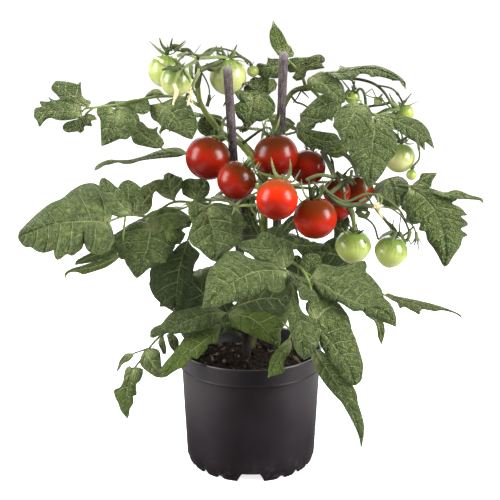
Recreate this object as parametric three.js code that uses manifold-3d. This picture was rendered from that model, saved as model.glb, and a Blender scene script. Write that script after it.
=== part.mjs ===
// A bush tomato plant in a round plant pot: pot, potting soil, two support stakes, a branching
// stem, compound leaves, fruit trusses and the tomatoes, each as its own closed solid.
// Millimetres, +Z up, origin at the middle of the pot's foot, -Y towards the viewer.
import * as THREE from 'three';
import { mergeVertices } from 'three/addons/utils/BufferGeometryUtils.js';
import Module from 'manifold-3d';

const wasm = await Module();
wasm.setup();

// Pot
const POT_HEIGHT = 118;
const RIM_RADIUS = 71.5;
const RIM_WALL = 2.2;
const COLLAR_HEIGHT = 16.4;
const COLLAR_RADIUS = 71;
const BODY_TOP_RADIUS = 69.9;
const BODY_LOW_RADIUS = 65.4;
const BODY_LOW_HEIGHT = 7.4;
const SKIRT_RADIUS = 64.1;
const SKIRT_TOP = 7;
const SKIRT_LOW = 4;
const FOOT_RADIUS = 61.4;
const POT_WALL = 1.8;
const FLOOR_HEIGHT = 9.6;
const FLOOR_THICKNESS = 1.8;
const POT_SIDES = 36;
const ARCH_WIDTH = 25;
const ARCH_HEIGHT = 9.2;
const NOTCH_WIDTH = 6;
const NOTCHES = [[28, 3.4], [45, 4.6], [62, 3.4]];
const DRAIN_RADIUS = 4.5;
const DRAIN_CIRCLE = 40;
const DRAIN_COUNT = 8;

// Fit between pieces that touch, and blade and sepal thickness
const GAP = 0.3;
const BLADE_THICKNESS = 0.8;

// Soil
const SOIL_CLEARANCE = 0.6;
const SOIL_EDGE_HEIGHT = 101;
const SOIL_MOUND_HEIGHT = 110;
const SOIL_ROUGHNESS = 1.6;
const SOIL_SIDES = 24;
const SOIL_RINGS = 3;

// Stakes: foot and top of each axis
const STAKE_RADIUS = 4.3;
const STAKE_TIP = 5;
const STAKE_SIDES = 10;
const STAKES = {
  stake_left: [[2, 0, 16], [-22, -16, 397]],
  stake_right: [[19, 20, 16], [31, -2, 410]],
};

// Stem: routes, each with its radius at the start and at the end
const STEM_SIDES = 6;
const STEM_ROUTES = [
  [[[-2, 20, 60], [0, 20, 108], [6, 18, 161], [13, 15, 237], [11, 15, 280], [7, 14, 313]], 5.5, 3.2],
  [[[9, 14, 296], [-11, 10, 322], [-26, 5, 331], [-48, 0, 361], [-51, 0, 381]], 3.2, 2.4],
  [[[12, 15, 270], [20, 20, 324], [31, 18, 355], [41, 19, 371], [58, 18, 377]], 3.4, 2.2],
];

// Leaves that the front view shows: name, route of the leaf's own stalk, and its leaflets as
// [place along the stalk, tip, width, direction it faces, bow as a share of its length]
const LEAVES = [
  ["low_left", [[-1, 18, 121], [-11, 0, 143], [-22, -22, 159]], [
    [1, [-98, -52, 142], 40, [0, -0.8, 1], 0.12],
    [0.98, [26, -42, 130], 40, [0, -0.6, 1], 0.1],
    [0.94, [-88, -76, 104], 27, [-0.3, -0.8, 0.7], 0.08],
  ]],
  ["low_far_left", [[-3, 20, 130], [-46, 4, 138], [-86, -14, 136], [-114, -34, 107]], [
    [1, [-123, -44, 58], 30, [0, -1, 0.4], 0.05],
    [0.86, [-83, -50, 102], 20, [0, -1, 0.5], 0.06],
    [0.82, [-134, -28, 100], 16, [0, -0.6, 1], 0.1],
    [0.66, [-88, 0, 110], 10, [0, -1, 0.2], 0.05],
    [0.58, [-75, 6, 109], 11, [0, -1, 0.2], 0.05],
  ]],
  ["rim_right", [[4, 18, 141], [29, -20, 150], [40, -46, 148]], [
    [1, [15, -90, 118], 18, [-0.2, -1, 0.6], 0.06],
  ]],
  ["front_left", [[9, 16, 198], [20, -45, 216], [27, -80, 217]], [
    [1, [-43, -112, 190], 56, [0, -1, 0.9], 0.08],
    [0.96, [10, -66, 251], 50, [0, -1, 0.35], 0.06],
    [0.98, [44, -118, 143], 32, [-0.3, -1, 0.2], 0.05],
  ]],
  ["front_right", [[11, 16, 212], [37, -45, 218], [51, -82, 211], [58, -96, 176]], [
    [0.62, [130, -98, 170], 54, [0.2, -1, 0.8], 0.08],
    [0.6, [47, -62, 231], 22, [0, -1, 0.3], 0.05],
    [0.68, [122, -80, 148], 22, [0.2, -1, 0.4], 0.05],
    [1, [91, -116, 118], 58, [0.3, -1, 0.4], 0.06],
    [0.92, [100, -110, 56], 34, [-0.3, -1, 0.2], 0.03],
  ]],
  ["mid_left", [[11, 12, 243], [-35, 2, 259], [-73, -18, 269], [-95, -36, 259], [-116, -50, 262],
    [-131, -55, 257]], [
    [1, [-218, -38, 244], 74, [0, -1, 0.8], 0.08],
    [0.96, [-138, -44, 296], 30, [0, -1, 0.3], 0.05],
    [0.88, [-115, -34, 294], 34, [0, -1, 0.3], 0.05],
    [0.82, [-94, -22, 287], 20, [0, -1, 0.3], 0.05],
    [0.9, [-176, -26, 202], 46, [0, -1, 0.7], 0.06],
    [0.66, [-104, -64, 206], 56, [0, -1, 0.4], 0.07],
    [0.5, [-82, -2, 297], 34, [0, -1, 0.3], 0.05],
    [0.42, [-43, -6, 284], 30, [0, -1, 0.3], 0.05],
  ]],
  ["mid_centre", [[12, 15, 261], [-4, -32, 268], [-40, -46, 269], [-52, -28, 258]], [
    [0.76, [-24, -76, 222], 52, [0, -1, 0.5], 0.07],
    [1, [-74, -18, 159], 56, [0, -1, 0.2], 0.05],
  ]],
  ["upper_left", [[-48, 0, 358], [-62, -12, 367], [-83, -20, 369], [-104, -26, 366], [-124, -32, 362],
    [-152, -38, 359]], [
    [1, [-195, -46, 350], 44, [0, -1, 0.7], 0.08],
    [0.96, [-176, -30, 382], 34, [0, -1, 0.4], 0.05],
    [0.93, [-157, -34, 336], 30, [0, -1, 0.2], 0.05],
    [0.72, [-134, -50, 326], 48, [0, -1, 0.4], 0.06],
    [0.42, [-60, -42, 332], 50, [0, -1, 0.5], 0.06],
    [0.36, [-137, -4, 364], 16, [0, 0, 1], 0.08],
  ]],
  ["upper_left_low", [[-25, 6, 328], [-42, 10, 315], [-63, 8, 312], [-85, 4, 317]], [
    [1, [-111, 0, 334], 28, [0, -1, 0.6], 0.06],
    [0.6, [-155, 16, 295], 26, [0, -0.4, 1], 0.08],
    [0.15, [-51, 4, 344], 20, [0, -1, 0.3], 0.05],
  ]],
  ["top_up", [[53, 20, 374], [51, 18, 382], [43, 14, 394], [32, 10, 404]], [
    [1, [21, 8, 437], 22, [0.2, -1, -0.1], 0.05],
    [0.5, [68, 4, 404], 32, [0, -1, 0.4], 0.05],
    [0.8, [11, 20, 398], 18, [0, -1, 0.6], 0.05],
  ]],
  ["centre_top", [[24, 19, 338], [12, 14, 356], [4, 2, 368]], [
    [1, [-4, -12, 338], 42, [0, -1, 0.5], 0.08],
    [0.95, [-17, -6, 372], 18, [0, -1, 0.5], 0.05],
    [0.9, [18, 14, 388], 26, [0, -1, 0.4], 0.05],
  ]],
  ["right_top", [[56, 18, 377], [62, 6, 387], [73, 0, 390]], [
    [1, [146, -14, 378], 26, [0, -0.5, 1], 0.1],
    [0.7, [85, -26, 365], 44, [0, -1, 0.6], 0.06],
  ]],
  ["right_mid", [[54, 18, 375], [74, -4, 370], [101, -34, 366]], [
    [1, [84, -70, 330], 44, [0, -1, 0.5], 0.06],
    [0.6, [46, -14, 354], 20, [0, -1, 0.7], 0.05],
  ]],
  ["right_hang", [[56, 18, 376], [84, 20, 352], [112, 4, 352], [118, -30, 352]], [
    [1, [109, -66, 288], 46, [0, -1, 0.3], 0.06],
    [0.95, [172, -24, 320], 36, [0, -1, 0.8], 0.08],
  ]],
  ["right_far", [[13, 16, 275], [70, 34, 280], [123, 16, 281], [152, -8, 283]], [
    [1, [186, -40, 210], 72, [0, -1, 0.5], 0.06],
    [1, [178, -6, 297], 24, [0, -1, 0.3], 0.05],
    [0.98, [218, -30, 264], 14, [0, -0.6, 1], 0.05],
    [0.86, [140, -22, 264], 34, [0, -1, 0.3], 0.05],
  ]],
  ["right_back", [[20, 20, 326], [40, 26, 330], [56, 30, 334]], [
    [1, [92, 34, 312], 34, [0, -1, 0.6], 0.06],
    [0.8, [84, 58, 343], 26, [0, -0.6, 1], 0.06],
  ]],
  ["right_low", [[13, 16, 206], [71, 34, 191], [134, 22, 168]], [
    [1, [212, 6, 146], 24, [0, -0.6, 1], 0.06],
    [0.66, [116, 40, 196], 34, [0, -1, 0.5], 0.06],
    [0.6, [91, 20, 161], 24, [0, -1, 0.5], 0.05],
  ]],
  ["inner", [[12, 15, 229], [20, -8, 228], [36, -14, 226]], [
    [1, [72, -18, 228], 18, [0, -1, 0.5], 0.06],
    [0.6, [30, -26, 248], 14, [0, -1, 0.4], 0.05],
  ]],
];

// Leaves round the back: name, root height on the stem, compass angle, reach, end height, size
const BACK_LEAVES = [
  ["back_left", 252, 150, 98, 245, 1],
  ["back_left_low", 176, 122, 88, 176, 1],
  ["back_middle", 268, 96, 70, 262, 1],
  ["back_right_low", 212, 56, 82, 206, 1],
  ["back_left_top", 308, 140, 84, 350, 0.8],
  ["back_right_top", 304, 76, 78, 344, 0.8],
  ["back_rim", 130, 84, 80, 152, 0.9],
];
const BACK_LEAFLETS = [
  // place along the stalk, turn from the stalk's heading, length, drop, width
  [1, 0, 52, 30, 40],
  [0.82, 62, 44, 16, 32],
  [0.76, -62, 44, 16, 32],
  [0.5, 70, 32, 4, 19],
  [0.42, -70, 32, 4, 19],
];

// Fruit: centre, radius, direction of the stem end
const RED_FRUIT = {
  red_1: [[-40, -30, 313], 20.3, [0.45, 0.2, 0.85]],
  red_2: [[-13, -64, 297], 17, [0.55, 0, 0.8]],
  red_3: [[23, -38, 316], 20, [-0.2, 0.1, 1]],
  red_4: [[23, -90, 284], 18.1, [0.2, 0.5, 0.9]],
  red_5: [[58, -72, 264], 18.9, [-0.05, 0, 1]],
  red_6: [[54, -14, 302], 16.7, [0.2, 0.3, 0.9]],
  red_7: [[82, -18, 279], 12.9, [0, -0.1, 1]],
  red_8: [[105, 4, 277], 14.7, [-0.1, -0.2, 1]],
  red_9: [[87, 12, 257], 11.8, [0, 0, 1]],
};
const GREEN_FRUIT = {
  green_1: [[-81, -2, 392], 16, [0.1, 0.1, 1]],
  green_2: [[-68, -38, 384], 14.1, [0.1, -0.5, 0.8]],
  green_3: [[-22, 14, 386], 18.1, [-0.2, 0, 1]],
  green_4: [[2, 12, 391], 5.7, [-0.3, 0, 1]],
  green_5: [[97, 4, 367], 7.2, [0.2, 0, 1]],
  green_6: [[148, 4, 352], 8.6, [-0.3, 0, 1]],
  green_7: [[143, -4, 310], 14.9, [0.1, 0, 1]],
  green_8: [[153, -16, 295], 5.2, [0.1, 0.1, 1]],
  green_9: [[96, -44, 231], 16.9, [0, -0.1, 1]],
  green_10: [[131, -48, 227], 15.9, [0.2, -0.1, 1]],
};
const FRUIT_HEIGHT = 0.93;
const DIMPLE_DEPTH = 0.14;
const DIMPLE_WIDTH = 0.3;
const FRUIT_SIDES = 10;
const FRUIT_RINGS = 5;
const SMALL_FRUIT_RADIUS = 10;

// Trusses: route of the stalk, then for each fruit [name, points its own stalk passes on the way]
const TRUSSES = {
  truss_left: [[[-9, 10, 321], [6, 2, 333], [14, -18, 340]], [
    ["red_3", [[14, -18, 340]]],
  ]],
  truss_outer: [[[-26, 5, 331], [-30, -8, 336], [-32, -18, 338]], [
    ["red_1", [[-32, -18, 338]]],
  ]],
  truss_right: [[[12, 15, 270], [16, -20, 284], [38, -48, 288], [66, -62, 287], [86, -56, 276],
    [106, -50, 282], [122, -48, 278], [138, -46, 266], [148, -46, 246]], [
    ["red_2", [[16, -20, 284], [5, -44, 300]]],
    ["red_4", [[38, -48, 288]]],
    ["red_5", [[66, -62, 287]]],
    ["red_6", [[66, -62, 287], [78, -32, 300], [70, -12, 320]]],
    ["red_7", [[86, -56, 276], [84, -38, 290]]],
    ["red_8", [[106, -50, 282], [106, -22, 294]]],
    ["red_9", [[106, -22, 294], [98, 10, 298], [89, 16, 284]]],
    ["green_9", [[86, -56, 276], [92, -52, 262]]],
    ["green_10", [[106, -50, 282], [118, -50, 264]]],
  ]],
  truss_top_left: [[[-51, 0, 379], [-52, 2, 394], [-50, 4, 403]], [
    ["green_1", [[-50, 4, 403], [-66, 0, 410]]],
    ["green_2", [[-50, 4, 403], [-58, -20, 408]]],
    ["green_3", [[-50, 4, 403], [-38, 10, 411]]],
    ["green_4", [[-50, 4, 403], [-38, 12, 412], [-20, 26, 410], [-8, 16, 404]]],
  ]],
  truss_top_right: [[[58, 18, 377], [90, 16, 384], [120, 10, 378], [135, 6, 360], [141, 0, 340]], [
    ["green_5", [[90, 16, 384], [97, 8, 382]]],
    ["green_6", [[120, 10, 378], [136, 6, 374]]],
    ["green_7", [[135, 6, 360], [141, 0, 340]]],
    ["green_8", [[141, 0, 340], [158, -6, 326], [160, -14, 310]]],
  ]],
};
const STALK_RADIUS = 1.5;
const PEDICEL_RADIUS = 0.9;
const CALYX_RADIUS = 2.4;
const SEPAL_COUNT = 5;
const SEPAL_SHARE = 0.7;
const SEPAL_RISE = 0.45;
const SEPAL_THICKNESS = 0.8;

// Half-width of a leaflet as a share, at shares of its length: lobed, plain and narrow
const LOBED = [[0, 0.05], [0.06, 0.55], [0.18, 0.98], [0.27, 0.8], [0.43, 1], [0.53, 0.76], [0.7, 0.68],
  [0.86, 0.36], [1, 0.02]];
const PLAIN = [[0, 0.05], [0.13, 0.78], [0.32, 1], [0.43, 0.8], [0.68, 0.66], [0.85, 0.36], [1, 0.02]];
const NARROW = [[0, 0.08], [0.25, 0.9], [0.55, 0.9], [1, 0.04]];
const LOBED_FROM_WIDTH = 36;
const PLAIN_FROM_WIDTH = 20;
const BLADE_WAVE = 0.08;

const vector = (point) => new THREE.Vector3(...point);

// A closed geometry as a solid for cutting and joining, and back.
function solidOf(geometry) {
  const bare = geometry.clone();
  bare.deleteAttribute('normal');
  bare.deleteAttribute('uv');
  const merged = mergeVertices(bare, 1e-4);
  const index = Uint32Array.from(merged.index.array);
  const corners = Float32Array.from(merged.attributes.position.array);
  return new wasm.Manifold(new wasm.Mesh({ numProp: 3, vertProperties: corners, triVerts: index }));
}

function geometryOf(solid) {
  const mesh = solid.getMesh();
  const geometry = new THREE.BufferGeometry();
  geometry.setAttribute('position', new THREE.BufferAttribute(Float32Array.from(mesh.vertProperties), 3));
  geometry.setIndex(new THREE.BufferAttribute(Uint32Array.from(mesh.triVerts), 1));
  geometry.computeVertexNormals();
  return geometry;
}

function joined(solids) {
  return solids.reduce((whole, solid) => whole.add(solid));
}

// The largest connected body: scraps that a cut leaves loose are dropped.
function largestBody(solid) {
  return solid.decompose().sort((a, b) => b.volume() - a.volume())[0];
}

function material(color, roughness) {
  return new THREE.MeshStandardMaterial({ color, roughness, metalness: 0 });
}

function piece(name, geometry, look) {
  const mesh = new THREE.Mesh(geometry, look);
  mesh.name = name;
  return mesh;
}

// A number from 0 to 1 that looks random and depends only on the seed.
function scatter(seed) {
  const value = Math.sin(seed * 12.9898) * 43758.5453;
  return value - Math.floor(value);
}

// Rings of points, each ring in the same order, closed into a body with flat ends.
function ringBody(rings) {
  const sides = rings[0].length;
  const corners = rings.flat().flatMap((point) => point.toArray());
  const faces = [];
  for (let ring = 0; ring < rings.length - 1; ring += 1) {
    for (let side = 0; side < sides; side += 1) {
      const a = ring * sides + side;
      const b = ring * sides + (side + 1) % sides;
      faces.push(a, b, b + sides, a, b + sides, a + sides);
    }
  }
  const last = (rings.length - 1) * sides;
  for (let side = 1; side < sides - 1; side += 1) {
    faces.push(0, side + 1, side);
    faces.push(last, last + side, last + side + 1);
  }
  const geometry = new THREE.BufferGeometry();
  geometry.setAttribute('position', new THREE.BufferAttribute(Float32Array.from(corners), 3));
  geometry.setIndex(faces);
  return geometry;
}

// A round bar that follows a route and tapers from one radius to the other.
function taperedBar(route, startRadius, endRadius, sides, steps) {
  const curve = new THREE.CatmullRomCurve3(route.map(vector));
  const frames = curve.computeFrenetFrames(steps, false);
  const rings = [];
  for (let step = 0; step <= steps; step += 1) {
    const centre = curve.getPointAt(step / steps);
    const radius = THREE.MathUtils.lerp(startRadius, endRadius, step / steps);
    const ring = [];
    for (let side = 0; side < sides; side += 1) {
      const angle = (2 * Math.PI * side) / sides;
      const point = centre.clone();
      point.addScaledVector(frames.normals[step], radius * Math.cos(angle));
      point.addScaledVector(frames.binormals[step], radius * Math.sin(angle));
      ring.push(point);
    }
    rings.push(ring);
  }
  return ringBody(rings);
}

// A profile of [radius, height] turned round the Z axis.
function turned(profile, sides) {
  const points = profile.map(([radius, height]) => new THREE.Vector2(radius, height));
  return new THREE.LatheGeometry(points, sides).rotateX(Math.PI / 2);
}

// Pot: a turned shell with a raised floor, arches and notches in its foot and holes in its floor.
function potSolid() {
  const collarLow = POT_HEIGHT - COLLAR_HEIGHT;
  const bodyInner = BODY_TOP_RADIUS - POT_WALL;
  const lowInner = BODY_LOW_RADIUS - POT_WALL;
  const skirtInner = SKIRT_RADIUS - POT_WALL;
  const floorTop = FLOOR_HEIGHT + FLOOR_THICKNESS;
  const profile = [
    [0, FLOOR_HEIGHT], [skirtInner, FLOOR_HEIGHT], [FOOT_RADIUS - POT_WALL, 0], [FOOT_RADIUS, 0],
    [SKIRT_RADIUS, SKIRT_LOW], [SKIRT_RADIUS, SKIRT_TOP],
    [BODY_LOW_RADIUS, BODY_LOW_HEIGHT], [BODY_TOP_RADIUS, collarLow - 1.5], [COLLAR_RADIUS, collarLow],
    [RIM_RADIUS, POT_HEIGHT - 0.6], [RIM_RADIUS - 0.6, POT_HEIGHT], [RIM_RADIUS - RIM_WALL, POT_HEIGHT],
    [COLLAR_RADIUS - RIM_WALL, collarLow + 2], [bodyInner, collarLow - 2], [lowInner, floorTop + 1.5],
    [lowInner - 1.5, floorTop], [0, floorTop],
  ];
  const shell = solidOf(turned(profile, POT_SIDES));
  return shell.subtract(joined([...footCuts(), ...drainCuts()]));
}

// One block through the foot ring, pointing along a compass angle.
function footCut(width, height, angle) {
  const depth = 24;
  const block = new THREE.BoxGeometry(depth, width, 2 * height);
  block.translate(FOOT_RADIUS, 0, 0).rotateZ(angle);
  return solidOf(block);
}

function footCuts() {
  const cuts = [];
  for (let quarter = 0; quarter < 4; quarter += 1) {
    const middle = (quarter * Math.PI) / 2;
    cuts.push(footCut(ARCH_WIDTH, ARCH_HEIGHT * 0.6, middle), footCut(ARCH_WIDTH * 0.7, ARCH_HEIGHT, middle));
    for (const [turn, height] of NOTCHES) {
      cuts.push(footCut(NOTCH_WIDTH, height, middle + THREE.MathUtils.degToRad(turn)));
    }
  }
  return cuts;
}

function drainCuts() {
  const cuts = [];
  for (let hole = 0; hole < DRAIN_COUNT; hole += 1) {
    const angle = ((hole + 0.5) * 2 * Math.PI) / DRAIN_COUNT;
    const plug = new THREE.CylinderGeometry(DRAIN_RADIUS, DRAIN_RADIUS, 3 * FLOOR_THICKNESS, 12);
    plug.rotateX(Math.PI / 2);
    plug.translate(DRAIN_CIRCLE * Math.cos(angle), DRAIN_CIRCLE * Math.sin(angle), FLOOR_HEIGHT);
    cuts.push(solidOf(plug));
  }
  return cuts;
}

// Soil: fills the pot to below its rim, mounded and crumbly on top, with a plain hole for each
// thing that stands in it.
function soilSolid(standing) {
  const floorTop = FLOOR_HEIGHT + FLOOR_THICKNESS + GAP;
  const edge = BODY_TOP_RADIUS - POT_WALL - SOIL_CLEARANCE;
  const low = BODY_LOW_RADIUS - POT_WALL - SOIL_CLEARANCE;
  const profile = [[0, floorTop], [low - 2, floorTop], [low, floorTop + 3]];
  profile.push([edge, SOIL_EDGE_HEIGHT - 4]);
  for (let ring = 0; ring <= SOIL_RINGS; ring += 1) {
    const share = ring / SOIL_RINGS;
    const mound = (SOIL_MOUND_HEIGHT - SOIL_EDGE_HEIGHT) * Math.sin((share * Math.PI) / 2);
    profile.push([edge * (1 - share), SOIL_EDGE_HEIGHT + mound]);
  }
  const lump = mergeVertices(stripped(turned(profile, SOIL_SIDES)), 1e-3);
  roughenTop(lump.attributes.position, edge);
  return solidOf(lump).subtract(joined(standing));
}

function stripped(geometry) {
  geometry.deleteAttribute('normal');
  geometry.deleteAttribute('uv');
  return geometry;
}

function roughenTop(positions, edge) {
  for (let corner = 0; corner < positions.count; corner += 1) {
    const height = positions.getZ(corner);
    const reach = Math.hypot(positions.getX(corner), positions.getY(corner));
    if (height > SOIL_EDGE_HEIGHT - 1 && reach < edge - 1) {
      const turn = Math.round(Math.atan2(positions.getY(corner), positions.getX(corner)) * 100);
      positions.setZ(corner, height + SOIL_ROUGHNESS * (2 * scatter(reach + turn) - 1));
    }
  }
}

// Stake: a round bar with a blunt cone at its top, grown by an allowance where it cuts a hole.
function stakeSolid([foot, top], grow) {
  const length = vector(foot).distanceTo(vector(top));
  const radius = STAKE_RADIUS + grow;
  const profile = [[0, -grow], [radius, -grow], [radius, length - STAKE_TIP + grow],
    [radius * 0.45, length - 0.6 + grow], [0, length + grow]];
  const heading = vector(top).sub(vector(foot)).normalize();
  const upright = new THREE.Quaternion().setFromUnitVectors(new THREE.Vector3(0, 0, 1), heading);
  const bar = turned(profile, STAKE_SIDES).applyQuaternion(upright).translate(...foot);
  return solidOf(bar);
}

function stemSolid(grow) {
  return joined(STEM_ROUTES.map(([route, start, end]) => solidOf(
    taperedBar(route, start + grow, end + grow, STEM_SIDES, 2 * (route.length - 1)),
  )));
}

function outlineFor(width) {
  if (width >= LOBED_FROM_WIDTH) return LOBED;
  return width >= PLAIN_FROM_WIDTH ? PLAIN : NARROW;
}

// Leaflet: a thin blade from its root to its tip, arched along its length, its edges waved.
function leafletSolid(root, tip, width, facing, bow) {
  const along = tip.clone().sub(root);
  const length = along.length();
  along.divideScalar(length);
  const face = facing.clone().addScaledVector(along, -facing.dot(along)).normalize();
  const across = along.clone().cross(face);
  const rings = outlineFor(width).map(([place, share], row) => {
    const half = (share * width) / 2;
    const wave = half * (row % 2 ? BLADE_WAVE : -BLADE_WAVE);
    const middle = root.clone().addScaledVector(along, place * length);
    middle.addScaledVector(face, bow * length * 4 * place * (1 - place));
    const corner = (hand, side) => middle.clone().addScaledVector(across, hand * half)
      .addScaledVector(face, hand * wave + (side * BLADE_THICKNESS) / 2);
    return [corner(1, 1), corner(-1, 1), corner(-1, -1), corner(1, -1)];
  });
  return solidOf(bladeBody(rings));
}

// Four points a ring, two on the upper face and two below, joined into a thin closed body whose
// two faces are split into triangles alike.
function bladeBody(rings) {
  const corners = rings.flat().flatMap((point) => point.toArray());
  const faces = [];
  const quad = (a, b, c, d) => faces.push(a, c, b, a, d, c);
  for (let ring = 0; ring < rings.length - 1; ring += 1) {
    const here = ring * 4;
    const next = here + 4;
    quad(here, here + 1, next + 1, next);
    quad(here + 3, next + 3, next + 2, here + 2);
    quad(here + 1, here + 2, next + 2, next + 1);
    quad(here + 3, here, next, next + 3);
  }
  const last = (rings.length - 1) * 4;
  quad(0, 3, 2, 1);
  quad(last, last + 1, last + 2, last + 3);
  const geometry = new THREE.BufferGeometry();
  geometry.setAttribute('position', new THREE.BufferAttribute(Float32Array.from(corners), 3));
  geometry.setIndex(faces);
  return geometry;
}

// Compound leaf: its stalk with every leaflet's root sunk into it.
function leafSolid(route, leaflets) {
  const curve = new THREE.CatmullRomCurve3(route.map(vector));
  const stalk = solidOf(taperedBar(route, STALK_RADIUS, STALK_RADIUS * 0.6, 3, 2 * (route.length - 1)));
  const blades = leaflets.map(([place, tip, width, facing, bow]) => leafletSolid(
    curve.getPointAt(place), vector(tip), width, vector(facing), bow,
  ));
  return joined([stalk, ...blades]);
}

// A leaf at the back, by rule: its stalk rises from the stem and arches over outwards.
function backLeaf([name, rootHeight, compass, reach, endHeight, size]) {
  const heading = THREE.MathUtils.degToRad(compass);
  const root = stemPointAt(rootHeight);
  const end = new THREE.Vector3(reach * Math.cos(heading), reach * Math.sin(heading), endHeight);
  const middle = root.clone().lerp(end, 0.5);
  middle.z += 14 * size;
  const route = [root, middle, end].map((point) => point.toArray());
  const curve = new THREE.CatmullRomCurve3(route.map(vector));
  const leaflets = BACK_LEAFLETS.map(([place, turn, length, drop, width]) => {
    const angle = heading + THREE.MathUtils.degToRad(turn);
    const tip = curve.getPointAt(place);
    tip.x += size * length * Math.cos(angle);
    tip.y += size * length * Math.sin(angle);
    tip.z -= size * drop;
    return [place, tip.toArray(), size * width, [0.5 * Math.cos(angle), 0.5 * Math.sin(angle), 1], 0.1];
  });
  return [name, route, leaflets];
}

// A point inside the main stem at a height.
function stemPointAt(height) {
  const route = STEM_ROUTES[0][0];
  const above = route.findIndex((point) => point[2] >= height);
  const share = (height - route[above - 1][2]) / (route[above][2] - route[above - 1][2]);
  return vector(route[above - 1]).lerp(vector(route[above]), share);
}

// Fruit: a slightly flattened ball with a dimple at its stem end, in its own frame, stem end up.
function fruitProfile(radius) {
  const rings = radius < SMALL_FRUIT_RADIUS ? FRUIT_RINGS - 2 : FRUIT_RINGS;
  const profile = [];
  for (let ring = 0; ring <= rings; ring += 1) {
    const turn = Math.PI * (ring / rings) ** 0.94;
    const reach = ring === rings ? 0 : radius * Math.sin(turn);
    const height = -FRUIT_HEIGHT * radius * Math.cos(turn);
    profile.push([reach, height - (height > 0 ? dimple(reach, radius) : 0)]);
  }
  return profile;
}

function dimple(reach, radius) {
  return DIMPLE_DEPTH * radius * Math.exp(-((reach / (DIMPLE_WIDTH * radius)) ** 2));
}

function fruitTurn(stemEnd) {
  return new THREE.Quaternion().setFromUnitVectors(new THREE.Vector3(0, 0, 1), vector(stemEnd).normalize());
}

function fruitGeometry(radius) {
  const sides = radius < SMALL_FRUIT_RADIUS ? FRUIT_SIDES - 4 : FRUIT_SIDES;
  return turned(fruitProfile(radius), sides);
}

// Where a fruit meets its stalk.
function stemEndOf([centre, radius, stemEnd]) {
  const height = radius * (FRUIT_HEIGHT - DIMPLE_DEPTH);
  return vector(centre).addScaledVector(vector(stemEnd).normalize(), height);
}

// Calyx: a thin star whose points, the sepals, rise as they reach out over the fruit's shoulders.
function calyxSolid(fruit) {
  const [, radius, stemEnd] = fruit;
  const up = vector(stemEnd).normalize();
  const turn = fruitTurn(stemEnd);
  const middle = stemEndOf(fruit).addScaledVector(up, 2 * GAP + SEPAL_THICKNESS);
  const heart = Math.min(CALYX_RADIUS, radius * 0.25);
  const length = radius * SEPAL_SHARE;
  const outline = [];
  for (let corner = 0; corner < 2 * SEPAL_COUNT; corner += 1) {
    const angle = (corner * Math.PI) / SEPAL_COUNT;
    const tip = corner % 2 === 0;
    const reach = tip ? length : heart;
    const point = new THREE.Vector3(reach * Math.cos(angle), reach * Math.sin(angle), 0);
    outline.push(point.setZ(tip ? SEPAL_RISE * length : 0).applyQuaternion(turn).add(middle));
  }
  return solidOf(thinStar(middle, outline, up));
}

// A plate under an outline, with its two faces fanned out from the middle alike.
function thinStar(middle, outline, up) {
  const count = outline.length;
  const lower = (point) => point.clone().addScaledVector(up, -SEPAL_THICKNESS);
  const corners = [middle, ...outline, lower(middle), ...outline.map(lower)];
  const faces = [];
  for (let corner = 0; corner < count; corner += 1) {
    const here = 1 + corner;
    const next = 1 + (corner + 1) % count;
    const under = count + 1;
    faces.push(0, here, next, under, under + next, under + here);
    faces.push(here, under + here, under + next, here, under + next, next);
  }
  const geometry = new THREE.BufferGeometry();
  const places = corners.flatMap((point) => point.toArray());
  geometry.setAttribute('position', new THREE.BufferAttribute(Float32Array.from(places), 3));
  geometry.setIndex(faces);
  return geometry;
}

// Truss: the shared stalk, each fruit's own stalk and its calyx.
function trussSolid(stalk, carried, fruits) {
  const solids = [solidOf(taperedBar(stalk, STALK_RADIUS, STALK_RADIUS * 0.7, 4, 2 * (stalk.length - 1)))];
  for (const [name, way] of carried) {
    const fruit = fruits[name];
    const up = vector(fruit[2]).normalize();
    const end = stemEndOf(fruit).addScaledVector(up, GAP);
    const above = end.clone().addScaledVector(up, Math.min(7, fruit[1] * 0.45));
    const route = [...way, above.toArray(), end.toArray()];
    solids.push(solidOf(taperedBar(route, PEDICEL_RADIUS, PEDICEL_RADIUS, 3, 2 * (route.length - 1))));
    solids.push(calyxSolid(fruit));
  }
  return joined(solids);
}

function fruitMeshes(fruits, look) {
  return Object.entries(fruits).map(([name, [centre, radius, stemEnd]]) => {
    const mesh = piece(name, fruitGeometry(radius), look);
    mesh.position.set(...centre);
    mesh.quaternion.copy(fruitTurn(stemEnd));
    return mesh;
  });
}

const looks = {
  pot: material(0x2b292b, 0.45),
  soil: material(0x33241a, 0.95),
  stake: material(0x4a4148, 0.8),
  stem: material(0x6f8a3c, 0.6),
  leaf: material(0x4f7338, 0.55),
  truss: material(0x5f7f3a, 0.6),
  ripe: material(0xc62a12, 0.2),
  unripe: material(0xb4c470, 0.25),
};

const plant = new THREE.Group();
const stem = stemSolid(0);
const grownStem = stemSolid(GAP);
const standing = [grownStem, ...Object.values(STAKES).map((axis) => stakeSolid(axis, GAP))];

plant.add(piece('pot', geometryOf(potSolid()), looks.pot));
plant.add(piece('soil', geometryOf(largestBody(soilSolid(standing))), looks.soil));
for (const [name, axis] of Object.entries(STAKES)) {
  plant.add(piece(name, geometryOf(stakeSolid(axis, 0)), looks.stake));
}
plant.add(piece('stem', geometryOf(stem), looks.stem));

for (const [name, route, leaflets] of [...LEAVES, ...BACK_LEAVES.map(backLeaf)]) {
  const leaf = leafSolid(route, leaflets).subtract(grownStem);
  plant.add(piece(`leaf_${name}`, geometryOf(largestBody(leaf)), looks.leaf));
}

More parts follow.
